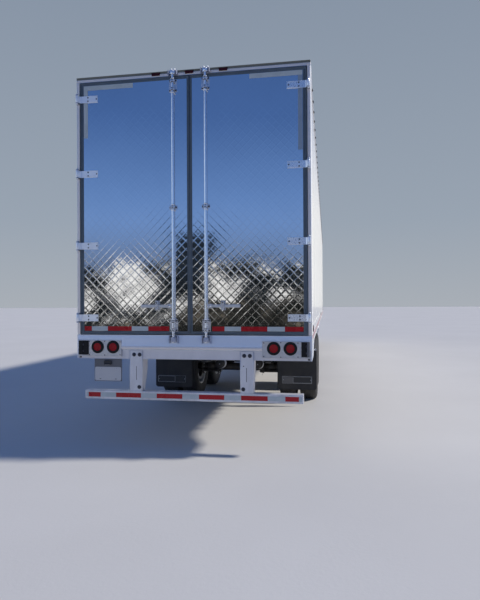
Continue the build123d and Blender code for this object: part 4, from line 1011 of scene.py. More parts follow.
# lower grille
q.box(-0.860, 0.860, y(UY - 0.002), y(UY + 0.0015), 1.800, 2.040, 0.0005, 2)
for z in spread(1.815, 2.025, 0.030):
    q.prism([(y(UY + 0.001), z - 0.004), (y(UY + 0.012), z + 0.005), (y(UY + 0.013), z + 0.0075), (y(UY + 0.001), z)], 0, -0.857, 0.857, 0)
for a, b, c, d in ((-0.875, 0.875, 2.030, 2.052), (-0.875, 0.875, 1.785, 1.805), (-0.875, -0.852, 1.785, 2.052), (0.852, 0.875, 1.785, 2.052)):
    q.box(a, b, y(UY - 0.004), y(UY + 0.0165), c, d, 0.0040, 0)
# top: exhaust, guards over the fans
for x in (-0.48, 0.48):
    q.lathe((x, y(16.375), 4.0195), (0, 0, 1), [(0, 0.190), (0.006, 0.190), (0.010, 0.183), (0.010, 0.172), (0.001, 0.170), (0.001, 0)], 48, 2)
    for r in (0.040, 0.065, 0.090, 0.115, 0.140, 0.165):
        q.tube([(x + r * math.cos(t), y(16.375) + r * math.sin(t), 4.0300) for t in [2 * math.pi * i / 40 for i in range(40)]], 0.0022, 6, 3, closed=True)
    for t in (0, math.pi / 3, 2 * math.pi / 3):
        q.tube([(x - 0.185 * math.cos(t), y(16.375) - 0.185 * math.sin(t), 4.0285), (x, y(16.375), 4.0315),
                (x + 0.185 * math.cos(t), y(16.375) + 0.185 * math.sin(t), 4.0285)], 0.0032, 6, 3)
q.tube([(0.90, y(16.36), 4.010), (0.90, y(16.36), 4.045), (0.905, y(16.375), 4.066), (0.91, y(16.405), 4.078), (0.91, y(16.45), 4.082)], 0.026, 16, 3)
q.make("unit_doors_and_grilles", [M["unit_cover"], M["unit_cover"], M["dark_plastic"], M["galvanised"]], "root", "unit_cover")

# air and electric connections
q = Shape()
for x, mi in ((-0.220, 3), (0.220, 2)):
    p = (x, y(NY + 0.030), 1.300)
    q.lathe(p, AHEAD, [(0, 0.044), (0.006, 0.044), (0.009, 0.038)], 24, 0)
    for a in range(4):
        q.rivet((x + 0.036 * math.cos(a * math.pi / 2 + 0.8), y(NY + 0.036), 1.300 + 0.036 * math.sin(a * math.pi / 2 + 0.8)), AHEAD, 0.0045, 0.003, 8, 1)
    q.lathe((x, y(NY + 0.036), 1.300), AHEAD, [(0, 0.0345), (0.018, 0.0350), (0.034, 0.0365), (0.041, 0.0365), (0.043, 0.034), (0.043, 0.026), (0.040, 0.024)], 32, mi)
    q.lathe((x, y(NY + 0.074), 1.300), AHEAD, [(0.0, 0.0255), (0.006, 0.0250), (0.008, 0.022), (0.008, 0.013), (0.002, 0.012), (0.002, 0)], 28, 4)
    q.box(x - 0.050, x - 0.030, y(NY + 0.050), y(NY + 0.072), 1.288, 1.312, 0.003, mi)
    q.box(x + 0.028, x + 0.052, y(NY + 0.052), y(NY + 0.066), 1.290, 1.326, 0.003, mi)
p = (0, y(NY + 0.030), 1.290)
q.lathe(p, AHEAD, [(0, 0.050), (0.006, 0.050), (0.010, 0.0405), (0.044, 0.0395), (0.050, 0.036)], 32, 0)
q.lathe((0, y(NY + 0.078), 1.290), AHEAD, [(0, 0.0400), (0.007, 0.0400), (0.011, 0.036), (0.012, 0)], 32, 0)
q.box(-0.020, 0.020, y(NY + 0.068), y(NY + 0.090), 1.328, 1.342, 0.003, 0)
q.lathe((-0.021, y(NY + 0.082), 1.338), (1, 0, 0), [(0, 0), (0, 0.005), (0.042, 0.005), (0.042, 0)], 12, 1)
for x in (-0.31, -0.11, 0.11, 0.31):
    for z in (1.205, 1.375):
        q.hexhead((x, y(NY + 0.030), z), AHEAD, 0.0085, 0.008, 1)
q.box(-0.334, 0.334, y(NY + 0.001), y(NY + 0.060), 1.388, 1.394, 0.0020, 0)
q.make("connection_fittings", [M["galvanised"], M["fastener"], M["coupling_red"], M["coupling_blue"], M["black_rubber"]], "root", "galvanised")

# ---------------------------------------------------------------------------
# Wheels
# ---------------------------------------------------------------------------


def tyre_mesh(q, p, n, c, seg=144, mi=0):
    """A ribbed tyre round the axis n through p, its middle plane c outboard of p."""
    half = [(0.100, 0.2905), (0.112, 0.2990), (0.1235, 0.3130), (0.1285, 0.3200), (0.1300, 0.3250), (0.1310, 0.3340), (0.1370, 0.3600),
            (0.1395, 0.3850), (0.1400, 0.4050), (0.1388, 0.4250), (0.1375, 0.4330), (0.1382, 0.4345), (0.1355, 0.4480), (0.1310, 0.4640),
            (0.1275, 0.4750), (0.1225, 0.4850), (0.1180, 0.4925), (0.1120, 0.4985), (0.1050, 0.5030)]

    def crown(x):
        return 0.5070 - 0.0032 * (x / 0.1) ** 2
    tread = []
    ribs = [(-0.102, -0.0665), (-0.0575, -0.0245), (-0.0155, 0.0155), (0.0245, 0.0575), (0.0665, 0.102)]
    for i, (a, b) in enumerate(ribs):
        tread += [(a, crown(a), i in (0,)), ((a + b) / 2, crown((a + b) / 2), False), (b, crown(b), i in (4,))]
        if i < 4:
            tread += [(b + 0.0014, crown(b) - 0.0125, False), (ribs[i + 1][0] - 0.0014, crown(b) - 0.0125, False)]
    prof = [(-x, r, 12 <= k <= 15) for k, (x, r) in enumerate(half)] + tread + [(x, r, 12 <= k <= 15) for k, (x, r) in reversed(list(enumerate(half)))]
    u, w, n = frame_of(n)
    p = Vector(p)
    vs = []
    for x, r, cut in prof:
        for k in range(seg):
            a = 2 * math.pi * k / seg
            rr, xx = r, x
            if cut and k % 3 == 0:
                if r > 0.5:
                    rr -= 0.005
                else:
                    xx -= math.copysign(0.0016, x)
            vs.append(p + n * (c + xx) + (u * math.cos(a) + w * math.sin(a)) * rr)
    m_ = len(prof)
    fs = [(i * seg + k, i * seg + (k + 1) % seg, ((i + 1) % m_) * seg + (k + 1) % seg, ((i + 1) % m_) * seg + k)
          for i in range(m_) for k in range(seg)]
    q.add(vs, fs, mi, False)


def holed_disc(q, p, n, front, back, seg, hole, mi=0):
    """A dished disc with hand holes: rows of (outboard, radius) for its two faces."""
    u, w, n = frame_of(n)
    p = Vector(p)
    vs = []
    for rows in (front, back):
        for x, r in rows:
            vs += [p + n * x + (u * math.cos(2 * math.pi * k / seg) + w * math.sin(2 * math.pi * k / seg)) * r for k in range(seg)]
    m_ = len(front)

    def at(f, i, k):
        return (f * m_ + i) * seg + k % seg
    fs = []
    for i in range(m_ - 1):
        for k in range(seg):
            if hole(i, k):
                for (di, dk, e) in ((0, -1, ((i, k), (i + 1, k))), (0, 1, ((i, k + 1), (i + 1, k + 1))), (-1, 0, ((i, k), (i, k + 1))), (1, 0, ((i + 1, k), (i + 1, k + 1)))):
                    if not hole(i + di, (k + dk) % seg):
                        (a, b), (c, d) = e
                        fs.append((at(0, a, b), at(0, c, d), at(1, c, d), at(1, a, b)))
                continue
            for f in (0, 1):
                fs.append((at(f, i, k), at(f, i, k + 1), at(f, i + 1, k + 1), at(f, i + 1, k)))
    q.add(vs, fs, mi, False)


def in_hole(i, k):
    kk = k % 8
    return (i in (3, 4) and 1 < kk < 6) or (i in (2, 5) and 2 < kk < 5)


RIM = [(0.048, 0.246), (0.060, 0.262), (0.068, 0.2715), (0.090, 0.2745), (0.205, 0.2745), (0.225, 0.2705), (0.244, 0.2705), (0.262, 0.2745),
       (0.278, 0.2780), (0.2850, 0.2900), (0.2875, 0.2990), (0.2830, 0.3025), (0.2785, 0.2980), (0.2740, 0.2900), (0.2560, 0.2890),
       (0.2400, 0.2860), (0.2200, 0.2890), (0.0680, 0.2890), (0.0560, 0.2700), (0.0420, 0.2500), (0.048, 0.246)]
FRONT = [(0.0165, 0.096), (0.0165, 0.186), (0.0200, 0.200), (0.0255, 0.209), (0.0345, 0.222), (0.0430, 0.235), (0.0480, 0.242), (0.0520, 0.250)]
REAR_ = [(0.0025, 0.096), (0.0025, 0.188), (0.0060, 0.203), (0.0120, 0.213), (0.0215, 0.226), (0.0315, 0.240), (0.0380, 0.247), (0.0440, 0.254)]
for axle, a in (("rear", 3.400), ("front", 4.645)):
    for side, s in SIDES:
        body = axle + "_" + side + "_wheels"
        p, n = (s * 0.98425, y(a), 0.507), (s, 0, 0)
        q = Shape()
        for c in (-0.165, 0.165):
            tyre_mesh(q, p, n, c)
        ob = q.make(axle + "_" + side + "_tyre_treads", M["tyre"], body, "tyre", replaces=[axle + "_" + side + "_tyres"])
        sharp_by_angle(ob, 35)
        q = Shape()
        for k in (1, -1):
            q.lathe(p, (s * k, 0, 0), RIM, 64, 0, True)
            holed_disc(q, p, (s * k, 0, 0), FRONT, REAR_, 80, in_hole, 0)
        # valve stems
        q.tube([(p[0] + s * xx, p[1] + 0.0 * xx, p[2] + rr) for xx, rr in ((0.085, 0.272), (0.070, 0.262), (0.085, 0.240), (0.150, 0.236))], 0.0045, 8, 2)
        # nuts and studs
        for k in range(10):
            t = 2 * math.pi * (k + 0.5) / 10
            b = (p[0] + s * 0.0165, p[1] + 0.1429 * math.cos(t), p[2] + 0.1429 * math.sin(t))
            q.lathe(b, n, [(0, 0.0225), (0.004, 0.0225), (0.006, 0.0190), (0.006, 0)], 18, 2)
            q.lathe((b[0] + s * 0.005, b[1], b[2]), n, [(0, 0.0178), (0.020, 0.0178), (0.0225, 0.0150), (0.0225, 0.0110), (0.036, 0.0105), (0.038, 0.009), (0.038, 0)],
                    6 if False else 18, 2)
        # hub, its cap and the bolts of the cap
        q.lathe(p, n, [(0.0165, 0.1150), (0.0240, 0.1150), (0.0270, 0.1120), (0.0330, 0.1040), (0.0500, 0.0990), (0.0900, 0.0880), (0.1500, 0.0830),
                       (0.1560, 0.0870), (0.1660, 0.0870), (0.1680, 0.0840)], 48, 1)
        q.lathe(p, n, [(0.1680, 0.0850), (0.1740, 0.0850), (0.1765, 0.0820), (0.1780, 0.0720), (0.2000, 0.0690), (0.2090, 0.0640), (0.2120, 0.0560),
                       (0.2120, 0.0430), (0.2095, 0.0415)], 48, 2)
        q.lathe(p, n, [(0.2085, 0.0430), (0.2110, 0.0400), (0.2150, 0.0250), (0.2165, 0.0120), (0.2165, 0.0)], 40, 3)
        q.lathe(p, n, [(0.2140, 0.0100), (0.2185, 0.0095), (0.2185, 0)], 16, 4)
        for k in range(6):
            t = 2 * math.pi * k / 6
            q.hexhead((p[0] + s * 0.1765, p[1] + 0.0775 * math.cos(t), p[2] + 0.0775 * math.sin(t)), n, 0.0068, 0.006, 2, washer=0)
        # drum with its stiffening ribs, inner hub and seal
        q.lathe(p, n, [(-0.0380, 0.0960), (-0.0380, 0.1580), (-0.0450, 0.1800), (-0.0600, 0.2080), (-0.0700, 0.2120), (-0.0780, 0.2120), (-0.0800, 0.2180),
                       (-0.0920, 0.2180), (-0.0940, 0.2120), (-0.1500, 0.2120), (-0.1520, 0.2170), (-0.1600, 0.2170), (-0.1620, 0.2120), (-0.2300, 0.2120),
                       (-0.2330, 0.2210), (-0.2560, 0.2210), (-0.2620, 0.2160), (-0.2620, 0.1900), (-0.0780, 0.1900), (-0.0560, 0.1500), (-0.0560, 0.0960)],
                64, 1)
        q.lathe(p, n, [(-0.0560, 0.0960), (-0.1400, 0.0960), (-0.1500, 0.0900), (-0.1880, 0.0900), (-0.1900, 0.0860), (-0.1900, 0.0530)], 40, 1)
        ob = q.make(axle + "_" + side + "_wheel_rims", [M["wheel"], M["hub_grey"], M["fastener"], M["clear_lens"], M["black_rubber"]], body, "wheel",
                    replaces=[axle + "_" + side + "_wheel"])
        sharp_by_angle(ob, 30)

# ---------------------------------------------------------------------------
# Bogie
# ---------------------------------------------------------------------------
q = Shape()
for a in (3.400, 4.645):
    for s in (-1, 1):
        # telescopic damper between its eyes
        lo_, hi_ = Vector((s * 0.400, y(a + 0.073), 0.578)), Vector((s * 0.400, y(a + 0.271), 0.858))
        ax = (hi_ - lo_).normalized()
        L_ = (hi_ - lo_).length
        q.lathe(lo_, ax, [(0.028, 0.0), (0.028, 0.018), (0.040, 0.030), (0.150, 0.030), (0.152, 0.0)], 24, 0)
        q.lathe(lo_, ax, [(0.130, 0.0), (0.130, 0.0375), (0.135, 0.0380), (L_ - 0.042, 0.0380), (L_ - 0.034, 0.030), (L_ - 0.028, 0.0)], 24, 0)
        for e in (lo_, hi_):
            q.lathe((e.x - 0.026, e.y, e.z), (1, 0, 0), [(0, 0.014), (0, 0.026), (0.003, 0.029), (0.049, 0.029), (0.052, 0.026), (0.052, 0.014)], 24, 0)
            q.lathe((e.x - 0.034, e.y, e.z), (1, 0, 0), [(0, 0), (0, 0.0135), (0.068, 0.0135), (0.068, 0)], 16, 1)
q.make("dampers", [M["black_steel"], M["fastener"]], "bogie", "black_steel", replaces=["shock_absorbers"])

q = Shape()
for a in (3.400, 4.645):
    for s in (-1, 1):
        p = (s * 0.520, y(a - 0.430), 0)
        q.lathe(p, (0, 0, 1), [(0.656, 0.0), (0.656, 0.0950), (0.668, 0.0980), (0.690, 0.0900), (0.715, 0.0870)], 48, 0)
        q.lathe(p, (0, 0, 1), [(0.712, 0.0870), (0.706, 0.0960), (0.705, 0.1050), (0.711, 0.1140), (0.722, 0.1205), (0.738, 0.1235), (0.760, 0.1240),
                               (0.800, 0.1238), (0.826, 0.1225), (0.844, 0.1180), (0.856, 0.1110), (0.862, 0.1040)], 48, 1)
        q.lathe(p, (0, 0, 1), [(0.860, 0.1090), (0.862, 0.1110), (0.869, 0.1110), (0.8715, 0.1080), (0.8740, 0.0)], 48, 2)
        for t in (0.4, 2.0, 3.6, 5.2):
            q.hexhead((p[0] + 0.09 * math.cos(t), p[1] + 0.09 * math.sin(t), 0.656), (0, 0, -1), 0.008, 0.008, 2)
q.make("air_bellows", [M["dark_plastic"], M["black_rubber"], M["galvanised"]], "bogie", "black_rubber", replaces=["air_springs"])

q = Shape()
for a in (3.400, 4.645):
    for s in (-1, 1):
        # chambers: clamp bands, fittings, hoses up to the frame
        for dd, r in ((-0.215, 0.088), (-0.168, 0.087)):
            q.lathe((s * 0.320, y(a + dd - 0.009), 0.582), (0, 1, 0), [(0, 0.076), (0, r), (0.003, r + 0.003), (0.015, r + 0.003), (0.018, r), (0.018, 0.076)], 32, 1)
            q.lathe((s * 0.320 - 0.024, y(a + dd), 0.582 + r + 0.008), (1, 0, 0), [(0, 0), (0, 0.0055), (0.048, 0.0055), (0.048, 0)], 10, 1)
        q.lathe((s * 0.320, y(a - 0.300), 0.582), (0, -1, 0), [(0, 0.0755), (0.010, 0.066), (0.016, 0.040), (0.018, 0.0)], 32, 0)
        q.lathe((s * 0.320, y(a - 0.316), 0.582), (0, -1, 0), [(0, 0.011), (0.014, 0.010), (0.014, 0)], 6, 1)
        for j, t in enumerate((0.9, 2.1)):
            bx, bz = s * 0.320 + 0.050 * math.cos(t), 0.582 + 0.058
            q.lathe((bx, y(a - 0.245 + 0.05 * j), 0.648), (0, 0, 1), [(0, 0.010), (0.022, 0.010), (0.022, 0.007)], 6, 2)
            c0 = a - 0.245 + 0.05 * j
            way = ((3.435, 0.850), (3.630, 0.925), (3.715, 0.938)) if a < 4 else ((4.435, 0.800), (4.410, 0.900), (4.345, 0.940))
            q.tube([(bx, y(c0), 0.664), (bx, y(c0 + 0.005), 0.720)] + [(bx - s * k * 0.03, y(w[0]), w[1]) for k, w in zip((1, 2, 2), way)], 0.0085, 8, 3)
        # axle seats, spider bolts, cam ends and the wear of the slack adjusters
        q.lathe((s * 0.520 - s * 0.052, y(a), 0.507), (s, 0, 0), [(0, 0.064), (0, 0.074), (0.004, 0.077), (0.100, 0.077), (0.104, 0.074), (0.104, 0.064)], 40, 0)
        for t in range(12):
            q.hexhead((s * 0.640, y(a) + 0.110 * math.cos(t * math.pi / 6), 0.507 + 0.110 * math.sin(t * math.pi / 6)), (-s, 0, 0), 0.009, 0.008, 1)
        q.lathe((s * 0.640, y(a), 0.507), (-s, 0, 0), [(0, 0.078), (0.012, 0.074), (0.020, 0.0645)], 40, 0)
        q.lathe((s * 0.330, y(a - 0.100), 0.447), (-s, 0, 0), [(0, 0.022), (0.006, 0.022), (0.006, 0)], 20, 1)
        for z in (0.390, 0.420, 0.540, 0.575):
            q.lathe((s * 0.374, y(a - 0.100), z), (-s, 0, 0), [(0, 0.010), (0.007, 0.009), (0.007, 0)], 10, 1)
        q.lathe((s * 0.520 - s * 0.066, y(a + 0.520), 0.640), (-s, 0, 0), [(0, 0.040), (0.006, 0.040), (0.006, 0.022), (0.022, 0.021), (0.022, 0)], 24, 1)
        q.hexhead((s * 0.586, y(a + 0.520), 0.640), (s, 0, 0), 0.022, 0.022, 1)
        for z in (0.76, 0.82):
            q.hexhead((s * 0.582, y(a + 0.470), z), (s, 0, 0), 0.010, 0.009, 1)
            q.hexhead((s * 0.582, y(a + 0.530), z), (s, 0, 0), 0.010, 0.009, 1)
# locking pins of the slide, with their pull rod
for s in (-1, 1):
    for d in (2.98, 3.82, 4.30, 5.13):
        q.lathe((s * 0.520, y(d), 0.985), (s, 0, 0), [(0, 0), (0, 0.030), (0.052, 0.030), (0.052, 0.020), (0.064, 0.020), (0.066, 0)], 20, 1)
    q.tube([(s * 0.470, y(2.90), 0.960), (s * 0.470, y(5.20), 0.960)], 0.008, 8, 1)
q.tube([(-0.470, y(3.98), 0.955), (-0.62, y(3.98), 0.860), (-0.700, y(4.02), 0.850)], 0.009, 8, 1)
# tank: straps, drain, fittings and lines
for x in (-0.20, 0.20):
    q.lathe((x - 0.0175, y(3.980), 0.905), (1, 0, 0), [(0, 0.1122), (0, 0.1150), (0.035, 0.1150), (0.035, 0.1122)], 48, 1)
for x in (-0.27, 0.27):
    q.tube([(x, y(3.980), 0.792), (x, y(3.980), 0.776)], 0.011, 10, 2)
for x, e, f, g in ((-0.15, -0.44, -0.490, 3.10), (0.0, -0.30, -0.30, 2.87), (0.15, 0.44, 0.490, 3.10)):
    q.tube([(x, y(3.870), 0.905), (x, y(3.840), 0.905), (x * 1.3, y(3.80), 0.920), (e, y(3.66), 0.935), (e, y(3.22), 0.945), (f, y(g), 0.945)], 0.0065, 8, 3)
q.tube([(0.05, y(4.090), 0.905), (0.05, y(4.13), 0.910), (0.05, y(4.40), 0.945), (0.03, y(5.05), 0.955), (0.03, y(5.31), 0.955)], 0.0085, 8, 3)
q.make("brake_and_slide_fittings", [M["black_steel"], M["fastener"], M["brass"], M["black_rubber"]], "bogie", "black_steel")

# mud flaps: rubber sheet with vertical ribs behind, clamp bar, blank plate in a thin frame
q = Shape()
for s in (-1, 1):
    x0, x1, z0, z1 = 0.684, 1.288, 0.250, 0.889
    prof = loop(s * x0, s * x1, z0, z1, 0.038, 5)
    k = len(prof)
    vs = [(x, y(2.6745), z) for x, z in prof] + [(x, y(2.6835), z) for x, z in prof]
    q.add(vs, [tuple(range(k)), tuple(range(2 * k - 1, k - 1, -1))] + [(i, i + k, (i + 1) % k + k, (i + 1) % k) for i in range(k)], 0)
    q.tube([(x, y(2.6745), z) for x, z in loop(s * (x0 + 0.008), s * (x1 - 0.008), z0 + 0.008, z1 - 0.008, 0.032, 5)], 0.0030, 6, 0, closed=True)
    for xx in spread(x0 + 0.03, x1 - 0.03, 0.036):
        q.box(s * (xx - 0.004), s * (xx + 0.004), y(2.683), y(2.6885), 0.275, 0.845, 0.0015, 0)
    q.box(s * 0.690, s * 1.284, y(2.6680), y(2.6750), 0.8560, 0.8860, 0.0020, 1)
    for xx in spread(0.72, 1.255, 0.107):
        q.hexhead((s * xx, y(2.6680), 0.871), BACK, 0.0085, 0.008, 2)
    # plate: plain grey part towards the middle of the trailer, framed dark part beside it; on the left flap the whole
    # plate is dark, painted shade
    a0, a1, b0, b1 = (-1.250, -0.790, 0.328, 0.436) if s < 0 else (0.757, 1.217, 0.345, 0.458)
    q.box(a0, a1, y(2.6715), y(2.6750), b0, b1, 0.0010, 3 if s > 0 else 5)
    f0, f1 = (a0 + 0.165, a1) if s > 0 else (a0, a1 - 0.165)
    q.box(f0 + 0.004, f1 - 0.010, y(2.6700), y(2.6718), b0 + 0.008, b1 - 0.008, 0.0005, 5)
    q.tube([(x, y(2.6700), z) for x, z in loop(f0 + 0.006, f1 - 0.012, b0 + 0.010, b1 - 0.010, 0.006, 3)], 0.0022, 6, 4, closed=True)
    q.tube([(x, y(2.6705), z) for x, z in loop(a0 + 0.002, a1 - 0.002, b0 + 0.002, b1 - 0.002, 0.004, 3)], 0.0016, 6, 4, closed=True)
    for xx in (a0 + 0.02, a1 - 0.02):
        q.lathe((xx, y(2.6700), (b0 + b1) / 2), BACK, [(0, 0.0055), (0.002, 0.004), (0.0025, 0)], 12, 2)
ob = q.make("mudflap_sheets", [M["black_rubber"], M["galvanised"], M["fastener"], M["flap_grey"], M["flap_line"], M["dark_plastic"]], "bogie", "black_rubber",
            replaces=["mudflaps"])

# ---------------------------------------------------------------------------
# Underside
# ---------------------------------------------------------------------------
q = Shape()
for i in range(45):
    d = 0.360 + i * 0.305
    for s in (-1, 1):
        for dd in (-0.018, 0.018):
            q.hexhead((s * 1.235, y(d + dd), 1.1615), (0, 0, -1), 0.007, 0.007, 0)
        q.box(s * 1.205, s * 1.2245, y(d - 0.026), y(d - 0.004), 1.075, 1.160, 0.0015, 1)
# long air lines and the loom, clipped under the crossmembers
for x, r, mi in ((-0.20, 0.0080, 2), (-0.165, 0.0080, 2), (-0.11, 0.0105, 2)):
    q.tube([(x, y(5.530), 1.050), (x, y(9.0), 1.050), (x, y(14.00), 1.050), (x, y(14.08), 1.064), (x, y(14.14), 1.120), (x, y(14.172), 1.176)], r, 8, mi)
    q.lathe((x, y(5.527), 1.048), (0, 1, 0), [(0, 0), (0, 0.0140), (0.014, 0.0140), (0.016, 0.0115), (0.034, 0.0115), (0.034, 0)], 6, 4)
q.box(-0.225, -0.088, y(5.520), y(5.528), 1.033, 1.0625, 0.0012, 1)
for i in range(18, 45, 3):
    d = 0.360 + i * 0.305
    q.box(-0.235, -0.085, y(d - 0.012), y(d + 0.012), 1.055, 1.0615, 0.001, 1)
    q.box(-0.232, -0.088, y(d - 0.010), y(d + 0.010), 1.036, 1.040, 0.001, 1)
# coupler plate: ground edges, plug welds and the rings round the pin
for x in spread(-0.9, 0.9, 0.30):
    for d in (14.25, 14.65, 15.05, 15.55, 15.95):
        if abs(x) > 0.05 or abs(d - 15.24) > 0.2:
            q.lathe((x, y(d), 1.160), (0, 0, -1), [(0, 0.016), (0.0015, 0.014), (0.002, 0)], 16, 1)
q.lathe((0, y(15.240), 1.160), (0, 0, -1), [(0, 0.075), (0.002, 0.074), (0.004, 0.060), (0.004, 0.0385)], 40, 3)
q.tube([(-1.035, y(14.152), 1.162), (1.035, y(14.152), 1.162)], 0.006, 8, 1)
q.make("underside_lines_and_clips", [M["fastener"], M["galvanised"], M["black_rubber"], M["hub_grey"], M["brass"]], "root", "galvanised")

# holes of the slide rails, where the pins enter
q = Shape()
for s in (-1, 1):
    for d in spread(1.60, 6.55, 0.1524):
        q.lathe((s * 0.6120, y(d), 0.985), (s, 0, 0), [(0.0004, 0.0205), (0.0012, 0.0200), (0.0012, 0.0170), (-0.0020, 0.0165), (-0.0020, 0)], 20, 0)
        q.lathe((s * 0.6000, y(d), 0.985), (-s, 0, 0), [(0.0004, 0.0205), (0.0012, 0.0200), (0.0012, 0.0170), (-0.0020, 0.0165), (-0.0020, 0)], 20, 0)
    for d in spread(1.50, 6.65, 0.305):
        for xx in (0.502, 0.640):
            q.hexhead((s * xx, y(d), 1.0525), (0, 0, -1), 0.008, 0.007, 1)
q.make("slide_rail_holes_and_bolts", [M["dark_plastic"], M["fastener"]], "root", "black_steel")

# landing gear: gearbox, caps, bolts, foot ribs, crank grip and its hook
LD = 12.594
q = Shape()
for s in (-1, 1):
    q.box(s * 0.862, s * 0.998, y(LD - 0.068), y(LD + 0.068), 0.428, 0.446, 0.004, 0)
    q.box(s * 0.860, s * 1.000, y(LD - 0.070), y(LD + 0.070), 0.870, 1.000, 0.006, 0)
    q.lathe((s * 0.998, y(LD), 0.935), (s, 0, 0), [(0, 0.050), (0.006, 0.050), (0.009, 0.046), (0.009, 0.030), (0.020, 0.027), (0.020, 0.016)], 32, 0)
    for k in range(6):
        t = k * math.pi / 3
        q.hexhead((s * 1.004, y(LD) + 0.039 * math.cos(t), 0.935 + 0.039 * math.sin(t)), (s, 0, 0), 0.006, 0.006, 1, washer=0)
    for z in (0.72, 0.80, 1.03):
        for dd in (-0.045, 0.045):
            q.hexhead((s * 0.995, y(LD + dd), z), (s, 0, 0), 0.010, 0.009, 1)
    q.box(s * 0.9945, s * 0.9990, y(LD - 0.064), y(LD + 0.064), 0.690, 0.850, 0.0015, 0)
    # mounting wings up to the crossmembers, and the feet
    for k in (-1, 1):
        q.box(s * 0.868, s * 0.992, y(LD + k * 0.065), y(LD + k * 0.150), 1.046, 1.0612, 0.003, 0)
        for xx in (0.895, 0.965):
            q.hexhead((s * xx, y(LD + k * 0.115), 1.046), (0, 0, -1), 0.009, 0.009, 1)
        q.prism([(y(LD + k * 0.066), 1.046), (y(LD + k * 0.066), 0.96), (y(LD + k * 0.145), 1.046)], 0, s * 0.924, s * 0.936, 0)
        q.box(s * 0.930 + k * 0.058, s * 0.930 + k * 0.066, y(LD - 0.085), y(LD + 0.085), 0.012, 0.085, 0.003, 0)
        q.lathe((s * 0.930 + k * 0.066, y(LD), 0.060), (k, 0, 0), [(0, 0.024), (0.008, 0.022), (0.008, 0)], 20, 1)
        q.tube([(s * 0.930 + k * 0.120, y(LD - 0.118), 0.016), (s * 0.930 + k * 0.120, y(LD + 0.118), 0.016)], 0.0045, 8, 0)
        q.tube([(s * 0.930 - 0.118, y(LD + k * 0.120), 0.016), (s * 0.930 + 0.118, y(LD + k * 0.120), 0.016)], 0.0045, 8, 0)
    for z in (0.66, 0.62):
        q.tube([(s * (0.862 - 0.004 * (i % 2)), y(LD - 0.030 + 0.005 * i), z) for i in range(13)], 0.0032, 6, 0)
for xx in (-1.180, -1.090):
    q.lathe((xx, y(LD), 0.630), (1, 0, 0), [(0, 0), (0, 0.0150), (0.004, 0.0165), (0.012, 0.0165), (0.016, 0.0150), (0.016, 0)], 20, 2)
q.lathe((-1.165, y(LD), 0.630), (1, 0, 0), [(0, 0.0145), (0.006, 0.0160), (0.068, 0.0160), (0.074, 0.0145)], 20, 2)
q.lathe((-1.074, y(LD), 0.935), (-1, 0, 0), [(-0.002, 0.024), (0.004, 0.024), (0.008, 0.018), (0.008, 0)], 24, 1)
q.tube([(-1.066, y(LD - 0.016), 0.66), (-1.066, y(LD - 0.016), 0.90)], 0.004, 8, 0)
q.tube([(-1.066, y(LD + 0.016), 0.66), (-1.066, y(LD + 0.016), 0.90)], 0.004, 8, 0)
q.make("landing_gear_fittings", [M["galvanised"], M["fastener"], M["black_rubber"]], "root", "galvanised")

# fuel tank: seams, cap, strap bolts and lines
q = Shape()
TX, TZ, TR = 0.900, 0.710, 0.280
for d in (10.430, 11.440):
    q.lathe((TX, y(d - 0.006), TZ), (0, 1, 0), [(0, TR - 0.002), (0.002, TR + 0.0020), (0.010, TR + 0.0020), (0.012, TR - 0.002)], 64, 0)
for d, k in ((10.400, -1), (11.470, 1)):
    q.lathe((TX, y(d), TZ), (0, k, 0), [(-0.030, TR - 0.001), (-0.008, TR - 0.010), (0.004, TR - 0.036), (0.007, TR - 0.080), (0.009, 0.0)], 64, 0)
for d in (10.590, 11.170):
    for k in (-1, 1):
        xx = TX + k * (TR + 0.008)
        q.lathe((xx + k * 0.002, y(d + 0.030), TZ + 0.01), (0, 0, 1), [(0, 0), (0, 0.009), (0.11, 0.009), (0.11, 0)], 12, 1)
        q.hexhead((xx + k * 0.002, y(d + 0.030), TZ + 0.115), (0, 0, 1), 0.014, 0.016, 1)
        q.box(xx - 0.014, xx + 0.014, y(d + 0.002), y(d + 0.058), TZ + 0.098, TZ + 0.116, 0.003, 1)
        q.hexhead((xx + k * 0.001, y(d + 0.030), 1.015), (k, 0, 0), 0.012, 0.010, 1)
cx, cd, cz = TX + 0.090, 11.310, TZ + TR + 0.022
q.lathe((cx, y(cd), cz - 0.010), (0, 0, 1), [(0, 0.0425), (0, 0.052), (0.003, 0.0545), (0.020, 0.0545), (0.024, 0.050), (0.026, 0.0)], 36, 2)
for k in range(18):
    t = 2 * math.pi * k / 18
    q.box(cx + 0.0540 * math.cos(t) - 0.003, cx + 0.0540 * math.cos(t) + 0.003, y(cd) + 0.0540 * math.sin(t) - 0.003, y(cd) + 0.0540 * math.sin(t) + 0.003,
          cz - 0.006, cz + 0.009, 0.001, 2)
q.tube([(TX - 0.05, y(11.38), TZ + 0.265), (TX - 0.05, y(11.38), 1.02), (TX - 0.08, y(11.45), 1.045), (TX - 0.10, y(12.30), 1.05), (TX - 0.10, y(14.00), 1.05), (TX - 0.10, y(14.08), 1.064), (TX - 0.10, y(14.14), 1.120), (TX - 0.10, y(14.172), 1.176)], 0.006, 8, 3)
q.tube([(TX - 0.02, y(11.38), TZ + 0.265), (TX - 0.02, y(11.38), 1.02), (TX - 0.05, y(11.47), 1.045), (TX - 0.07, y(12.30), 1.05), (TX - 0.07, y(14.00), 1.05), (TX - 0.07, y(14.08), 1.064), (TX - 0.07, y(14.14), 1.120), (TX - 0.07, y(14.172), 1.176)], 0.006, 8, 3)
q.make("fuel_tank_fittings", [M["aluminium"], M["fastener"], M["dark_plastic"], M["black_rubber"]], "root", "aluminium")

